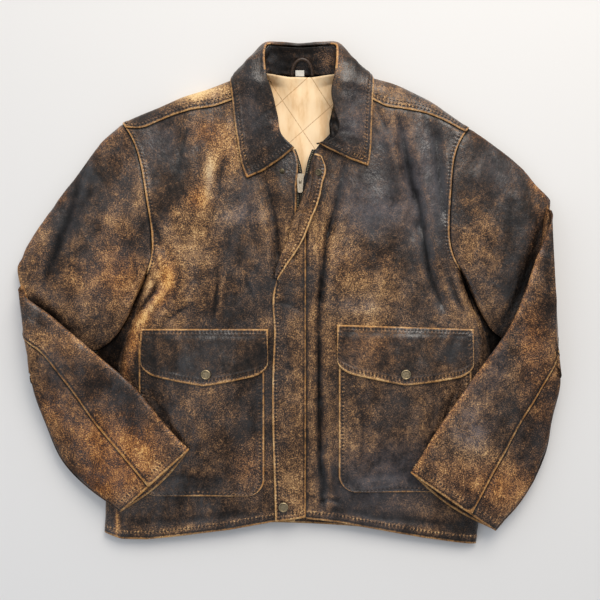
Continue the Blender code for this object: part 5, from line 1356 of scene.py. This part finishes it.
def tapeInner(y, side):  # x of a tape's toothed edge
    return np.interp(y, *np.transpose(tapes["open"][side]))


def buildTape(which, side):
    y = np.linspace(*tapes["y"], 190)
    inner = tapeInner(y, side)
    across = np.linspace(0, 1, 7) * tapes["width"] * side
    x = inner[:, None] + across
    if side < 0:
        x = x[:, ::-1]
    y = np.broadcast_to(y[:, None], x.shape)
    grid = np.dstack([x, y, bodyTop(x, y) - bodyForm["wall"] - tapes["drop"]])
    clothPiece(f"zip_tape_{which}", grid, tapes["wall"], zipCloth)


liningForm = {
    "rows": (3, 60), "columns": (12, -12),  # which of the back's points it uses
    "wall": 1.2, "room": 0.5 + 1.6,
    "top": 322.5, "atNeck": (-52, 86, 14),  # it runs on to this y between these x, over this reach
    "topHeights": ((-36, 31), (-24, 26), (-10, 16), (0, 11.5), (32, 11.5), (43, 15), (57, 22), (69, 26)),
    "pillow": 1.6, "stitchWidth": 9, "most": 2.4, "waves": ((0.5, 40, 71),), "longWaves": ((0.8, 24, 72),),
}


def buildLining(backSurface):
    # the lining follows the back's inner face and runs on to the neck seam; its quilting lines are dents
    inner = backSurface - gridNormals(backSurface[:, ::-1])[:, ::-1] * (bodyForm["wall"] + liningForm["room"])
    kept = inner[slice(*liningForm["rows"]), slice(*liningForm["columns"])]
    last = kept[-1]
    fromX, toX, reach = liningForm["atNeck"]
    atNeck = smoothStep((last[:, 0] - fromX) / reach) * smoothStep((toX - last[:, 0]) / reach)
    end = np.interp(last[:, 0], *np.transpose(liningForm["topHeights"]))
    runOn = [last + np.stack([0 * atNeck, (liningForm["top"] - last[:, 1]) * atNeck * share + 3 * share,
                              (end - last[:, 2]) * atNeck * share], axis=-1)
             for share in (0.2, 0.4, 0.6, 0.8, 1.0)]
    kept = np.concatenate([kept, runOn])
    x, y = kept[..., 0], kept[..., 1]
    distance = np.full(x.shape, 99.0)
    for (dx, dy), (px, py) in liningLook["families"]:
        across = ((x - px) * dy - (y - py) * dx) / math.hypot(dx, dy)
        spacing = liningLook["spacing"]
        distance = np.minimum(distance, np.abs((across + spacing / 2) % spacing - spacing / 2))
    pillow = liningForm["pillow"] * (1 - bump(distance, liningForm["stitchWidth"])) - 0.4
    grid = kept.copy()
    grid[..., 2] += pillow + waves(x, y, liningForm["waves"]) + waves(x, 0.3 * y, liningForm["longWaves"])
    grid[..., 2] = np.minimum(grid[..., 2], kept[..., 2] + liningForm["most"])
    clothPiece("lining_back", grid, liningForm["wall"], lining)


# many small things as one mesh: a template placed by a point and two directions
def manySmall(name, points, faces, places, ahead, upward, material, slot):
    points, places = np.asarray(points, float), np.asarray(places, float)
    ahead = unit(ahead)
    side = unit(np.cross(upward, ahead))
    upward = np.cross(ahead, side)
    placed = (places[:, None] + points[None, :, :1] * ahead[:, None] + points[None, :, 1:2] * side[:, None]
              + points[None, :, 2:3] * upward[:, None])
    count = len(points)
    allFaces = [tuple(v + k * count for v in face) for k in range(len(places)) for face in faces]
    return addMesh(name, placed.reshape(-1, 3), allFaces, material)


def capsule(length, radius, sides=6):  # a lying stitch, x along it
    half, full = length / 2, length / 2 - radius * 0.7
    rings = ((-half, 0.35), (-full, 1), (full, 1), (half, 0.35))  # place and share of the radius
    turns = [2 * math.pi * n / sides for n in range(sides)]
    points = [(x, radius * k * math.cos(a), radius * k * math.sin(a)) for x, k in rings for a in turns]
    return points, [face[::-1] for face in tubeFaces(len(rings), sides)]


def insetLine(grid, border, inset):  # points at a set way in from a border, their normals and places
    normals = gridNormals(grid)
    if border in ("left", "right"):
        grid, normals = grid.swapaxes(0, 1), normals.swapaxes(0, 1)
    if border in ("last", "right"):
        grid, normals = grid[::-1], normals[::-1]
    way = np.zeros(grid.shape[:2])
    way[1:] = np.cumsum(np.linalg.norm(np.diff(grid, axis=0), axis=-1), axis=0)
    k = np.clip((way < inset).sum(axis=0) - 1, 0, len(grid) - 2)
    c = np.arange(grid.shape[1])
    share = ((inset - way[k, c]) / (way[k + 1, c] - way[k, c]))[:, None]
    return mix(grid[k, c], grid[k + 1, c], share), mix(normals[k, c], normals[k + 1, c], share), along(grid[0])


def buildStitches(name):
    spots, aheads, ups = [], [], []
    for grid, border, inset, where in stitchRuns:
        line, normals, places = insetLine(grid, border, inset)
        spacing = stitching["spacing"]
        wanted = (np.arange(2, int(places[-1] / spacing) - 1) + stitching["phase"]) * spacing
        index = np.interp(wanted, places, range(len(places)))
        if where is not None:
            ends = {"first": where[0], "last": where[-1], "left": where[:, 0], "right": where[:, -1]}
            index = index[ends[border][np.round(index).astype(int)]]
        if len(index) < 3:
            continue
        spot, up = (np.stack([np.interp(index, range(len(line)), field[:, k]) for k in range(3)], axis=-1)
                    for field in (line, normals))
        step = np.gradient(spot, axis=0)
        far = np.linalg.norm(step, axis=1)
        near = far < 2.5 * spacing  # not across a gap between two seams
        spot = spot + up * stitching["out"]
        slope = np.abs(step[:, 2]) / np.maximum(far, 0.01)
        lowest = stitching["radius"] + stitching["clear"] + stitching["length"] / 2 * slope
        spot[:, 2] = np.maximum(spot[:, 2], lowest)  # no stitch goes through the floor
        spots.append(spot[near])
        aheads.append(step[near])
        ups.append(up[near])
    points, faces = capsule(stitching["length"], stitching["radius"])
    return manySmall(name, points, faces, *(np.concatenate(parts) for parts in (spots, aheads, ups)), thread,
                     "shell_leather")


zipForm = {
    "pitch": 2.6, "length": 1.3, "width": 3.0, "height": 1.9, "waist": 0.36, "from": -334, "to": 213,
    "slider": (163, 179), "out": 1.3, "rise": 0.35,  # no teeth under the slider; place from the tape's edge
}


def buildZipTeeth():
    l, w, h = zipForm["length"], zipForm["width"], zipForm["height"]
    outline = ((-l / 2, 0), (-l * zipForm["waist"], w), (l * zipForm["waist"], w), (l / 2, 0))
    points = [(x, y, z) for z in (-h / 2, h / 2) for x, y in outline]
    faces = [(3, 2, 1, 0), (4, 5, 6, 7)] + [(k, (k + 1) % 4, 4 + (k + 1) % 4, 4 + k) for k in range(4)]
    for which, side in (("left", -1), ("right", 1)):
        pitch = zipForm["pitch"]
        y = np.arange(zipForm["from"], zipForm["to"], pitch) + (0 if side < 0 else pitch / 2)
        y = y[(y < zipForm["slider"][0]) | (y > zipForm["slider"][1])]
        x = tapeInner(y, side)
        base = bodyTop(x, y) - bodyForm["wall"] - tapes["drop"]
        places = np.stack([x + side * zipForm["out"], y, base + zipForm["rise"]], axis=-1)
        ahead = np.gradient(places, axis=0)
        ahead[:, 2] = 0
        upward = np.tile([0, 0, 1.0], (len(y), 1))
        tooth = [(px, -py * side, pz) for px, py, pz in points]
        turnedFaces = faces if side < 0 else [face[::-1] for face in faces]
        manySmall(f"zip_teeth_{which}", tooth, turnedFaces, places, ahead, upward, paleBrass, "brass")


hardware = {
    "cap": ((0, 0), (6.9, 0), (7.35, 0.4), (7.5, 1.1), (7.35, 1.9), (6.9, 2.5), (6.2, 2.8), (5.6, 2.6),
            (5.25, 2.0), (5.1, 1.7), (4.4, 1.65), (2.2, 1.75), (0, 1.8)),
    "stud": ((0, 0), (3.6, 0), (3.6, 0.6), (3.3, 0.8), (2.2, 0.95), (1.9, 1.3), (1.9, 2.2), (1.5, 2.65),
             (0, 2.8)),
    "socket": ((0, 0), (4.9, 0), (5.0, 0.6), (4.9, 1.2), (4.3, 1.6), (3.6, 1.7), (2.9, 1.6), (2.5, 1.2),
               (2.4, 0.8), (0, 0.8)),
    "facets": 40, "sharp": 40,  # sharp: edges from this angle on aren't smoothed, degrees
    "socketLean": (-0.12, 0, 1),
}


def lathe(cadNode, profile, material, normal=(0, 0, 1)):
    # a turned piece standing where its solid stands
    profile = hardware[profile]
    low, high = (np.array(corner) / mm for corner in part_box(cadNode))
    normal = unit(normal)
    top = max(z for _, z in profile)
    centre = (low + high) / 2 - normal * top / 2
    first = unit(np.cross(normal, (0, 1, 0.1)))
    second = np.cross(normal, first)
    points, faces, count = [], [], hardware["facets"]
    for radius, height in profile:
        turn = [0.0] if radius == 0 else [2 * math.pi * k / count for k in range(count)]
        points.append([centre + normal * height + (first * math.cos(a) + second * math.sin(a)) * radius
                       for a in turn])
    starts = np.cumsum([0] + [len(r) for r in points])
    for k in range(len(points) - 1):
        a, b = len(points[k]), len(points[k + 1])
        for n in range(count):
            m = n + 1
            corners = (starts[k] + n % a, starts[k] + m % a, starts[k + 1] + m % b, starts[k + 1] + n % b)
            faces.append([int(v) for v in dict.fromkeys(corners)])
    made = addMesh(f"{cadNode}_shell", np.concatenate(points), faces, material)
    made.data.set_sharp_from_angle(angle=math.radians(hardware["sharp"]))
    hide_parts(cadNode)


neckForm = {
    "footY": 327.0, "footZ": 7.1, "slope": 0.42,
    "loopRadius": 2.5, "loopReach": 22, "loopHalf": 15.5, "loopX": 18.9, "loopSides": 14,
    "plait": (0.07, 1.6),  # the cord's twist: depth and turn for each mm
    "tabX": (9, 22), "tabY": (327.5, 335.5), "tabWall": 0.8, "tabRise": 2.0, "tabWaves": ((0.25, 9, 81),),
}


def standFace(y):
    return neckForm["footZ"] + (np.asarray(y, float) - neckForm["footY"]) * neckForm["slope"]


def buildHangerLoop():
    angle = np.linspace(0, math.pi, 49)
    radius = neckForm["loopRadius"]
    y = neckForm["footY"] + 1.5 + neckForm["loopReach"] * np.sin(angle)
    x = neckForm["loopX"] - neckForm["loopHalf"] * np.cos(angle)
    spine = np.stack([x, y, standFace(y) + radius + 1], axis=-1)
    direction = unit(np.gradient(spine, axis=0))
    up = unit([0, -neckForm["slope"], 1.0])
    out = unit(np.cross(direction, up))
    sides, (depth, pace) = neckForm["loopSides"], neckForm["plait"]
    turns = np.arange(sides) / sides * 2 * math.pi
    plaited = 1 + depth * np.sin(along(spine)[:, None] * pace + turns * 2)
    around = out[:, None] * np.cos(turns)[None, :, None] + up * np.sin(turns)[None, :, None]
    points = (spine[:, None] + around * (radius * plaited)[..., None]).reshape(-1, 3)
    made = addMesh("hanger_loop_shell", points, tubeFaces(len(spine), sides), cordLeather)
    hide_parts("hanger_loop")


def buildSizeTab():
    x, y = np.meshgrid(np.linspace(*neckForm["tabX"], 16), np.linspace(*neckForm["tabY"], 12))
    grid = np.dstack([x, y, standFace(y) + neckForm["tabRise"] + waves(x, y, neckForm["tabWaves"])])
    clothPiece("size_tab", grid, neckForm["tabWall"], tabCloth)


# the jacket
front = {which: buildFront(which, shellLeather) for which in ("left", "right")}
topRows = front["left"][-1], front["right"][-1][::-1]
backSurface = buildBack(*topRows, shellLeather)
print("body made")
for which in ("left", "right"):
    buildSleeve(which, shellLeather)
print("sleeves made")
collarLines = collarCoarse().swapaxes(0, 1)
buildFall(collarLines, collarLeather)
buildStand(collarLines, collarLeather)
buildStormFlap(shellLeather)
for build in (buildPocket, buildFlap):
    for which in ("left", "right"):
        build(which, shellLeather)
for which, side in (("left", -1), ("right", 1)):
    buildTape(which, side)
buildLining(backSurface)
buildHangerLoop()
buildSizeTab()
for name in ("left", "right", "placket"):
    lathe(f"snap_cap_{name}", "cap", agedBrass)
lathe("snap_stud", "stud", darkBrass)
lathe("snap_socket", "socket", darkBrass, hardware["socketLean"])
for name in ("zip_slider", "zip_pull_tab"):
    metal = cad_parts[name]
    for materialSlot in metal.material_slots:
        materialSlot.material = dullBrass
    bevel = metal.modifiers.new("soft edges", "BEVEL")
    bevel.width, bevel.segments = 0.25 * mm, 3
buildZipTeeth()
print("collar, flaps, pockets and hardware made")

buildStitches("seam_stitches")
print("stitches made")

stageLook = {
    "floor": "#dcdbd9", "floorHalf": 4.0, "sky": "#e9edf4", "skyFade": (-0.5, 0.8, 0.35, 1.3),
    # place in metres, size, power, colour
    "lights": {"key": ((0.45, 1.5, 1.7), 1.4, 40.0, "#fff6ea"),
               "fill": ((-1.4, -0.8, 1.6), 1.6, 5.0, "#dfe9f8")},
    "camera": (0.01575, -0.0105, 1.32), "lens": 52.0, "sensor": 36.0,
}


def buildStage():
    floor = bpy.data.meshes.new("floor")
    half = stageLook["floorHalf"]
    corners = [(-half, -half, 0), (half, -half, 0), (half, half, 0), (-half, half, 0)]
    floor.from_pydata(corners, [], [(0, 1, 2, 3)])
    made = bpy.data.objects.new("floor", floor)
    material, tree = newMaterial("white paper floor")
    finished(tree, Base_Color=linear(stageLook["floor"]), Roughness=0.9)
    floor.materials.append(material)
    bpy.context.scene.collection.objects.link(made)
    world = bpy.data.worlds.new("studio")
    bpy.context.scene.world = world
    world.use_nodes = True
    # a pale sky, brighter beyond the collar
    background = world.node_tree.nodes["Background"]
    background.inputs["Color"].default_value = linear(stageLook["sky"])
    direction = node(world.node_tree, "ShaderNodeTexCoord").outputs["Generated"]
    towards = node(world.node_tree, "ShaderNodeSeparateXYZ", {"Vector": direction}).outputs["Y"]
    bright = ranged(world.node_tree, towards, *stageLook["skyFade"])
    world.node_tree.links.new(bright, background.inputs["Strength"])
    for name, (place, size, power, colour) in stageLook["lights"].items():
        light = bpy.data.lights.new(name, "AREA")
        light.size, light.energy, light.color = size, power, linear(colour)[:3]
        lamp = bpy.data.objects.new(name, light)
        lamp.location = place
        lamp.rotation_euler = (-Vector(place)).to_track_quat("-Z", "Y").to_euler()
        bpy.context.scene.collection.objects.link(lamp)
    lens = bpy.data.cameras.new("camera")
    lens.lens, lens.sensor_width = stageLook["lens"], stageLook["sensor"]
    camera = bpy.data.objects.new("camera", lens)
    camera.location = stageLook["camera"]
    bpy.context.scene.collection.objects.link(camera)
    bpy.context.scene.camera = camera
    bpy.context.scene.view_settings.view_transform = "Standard"


buildStage()
print("stage made")
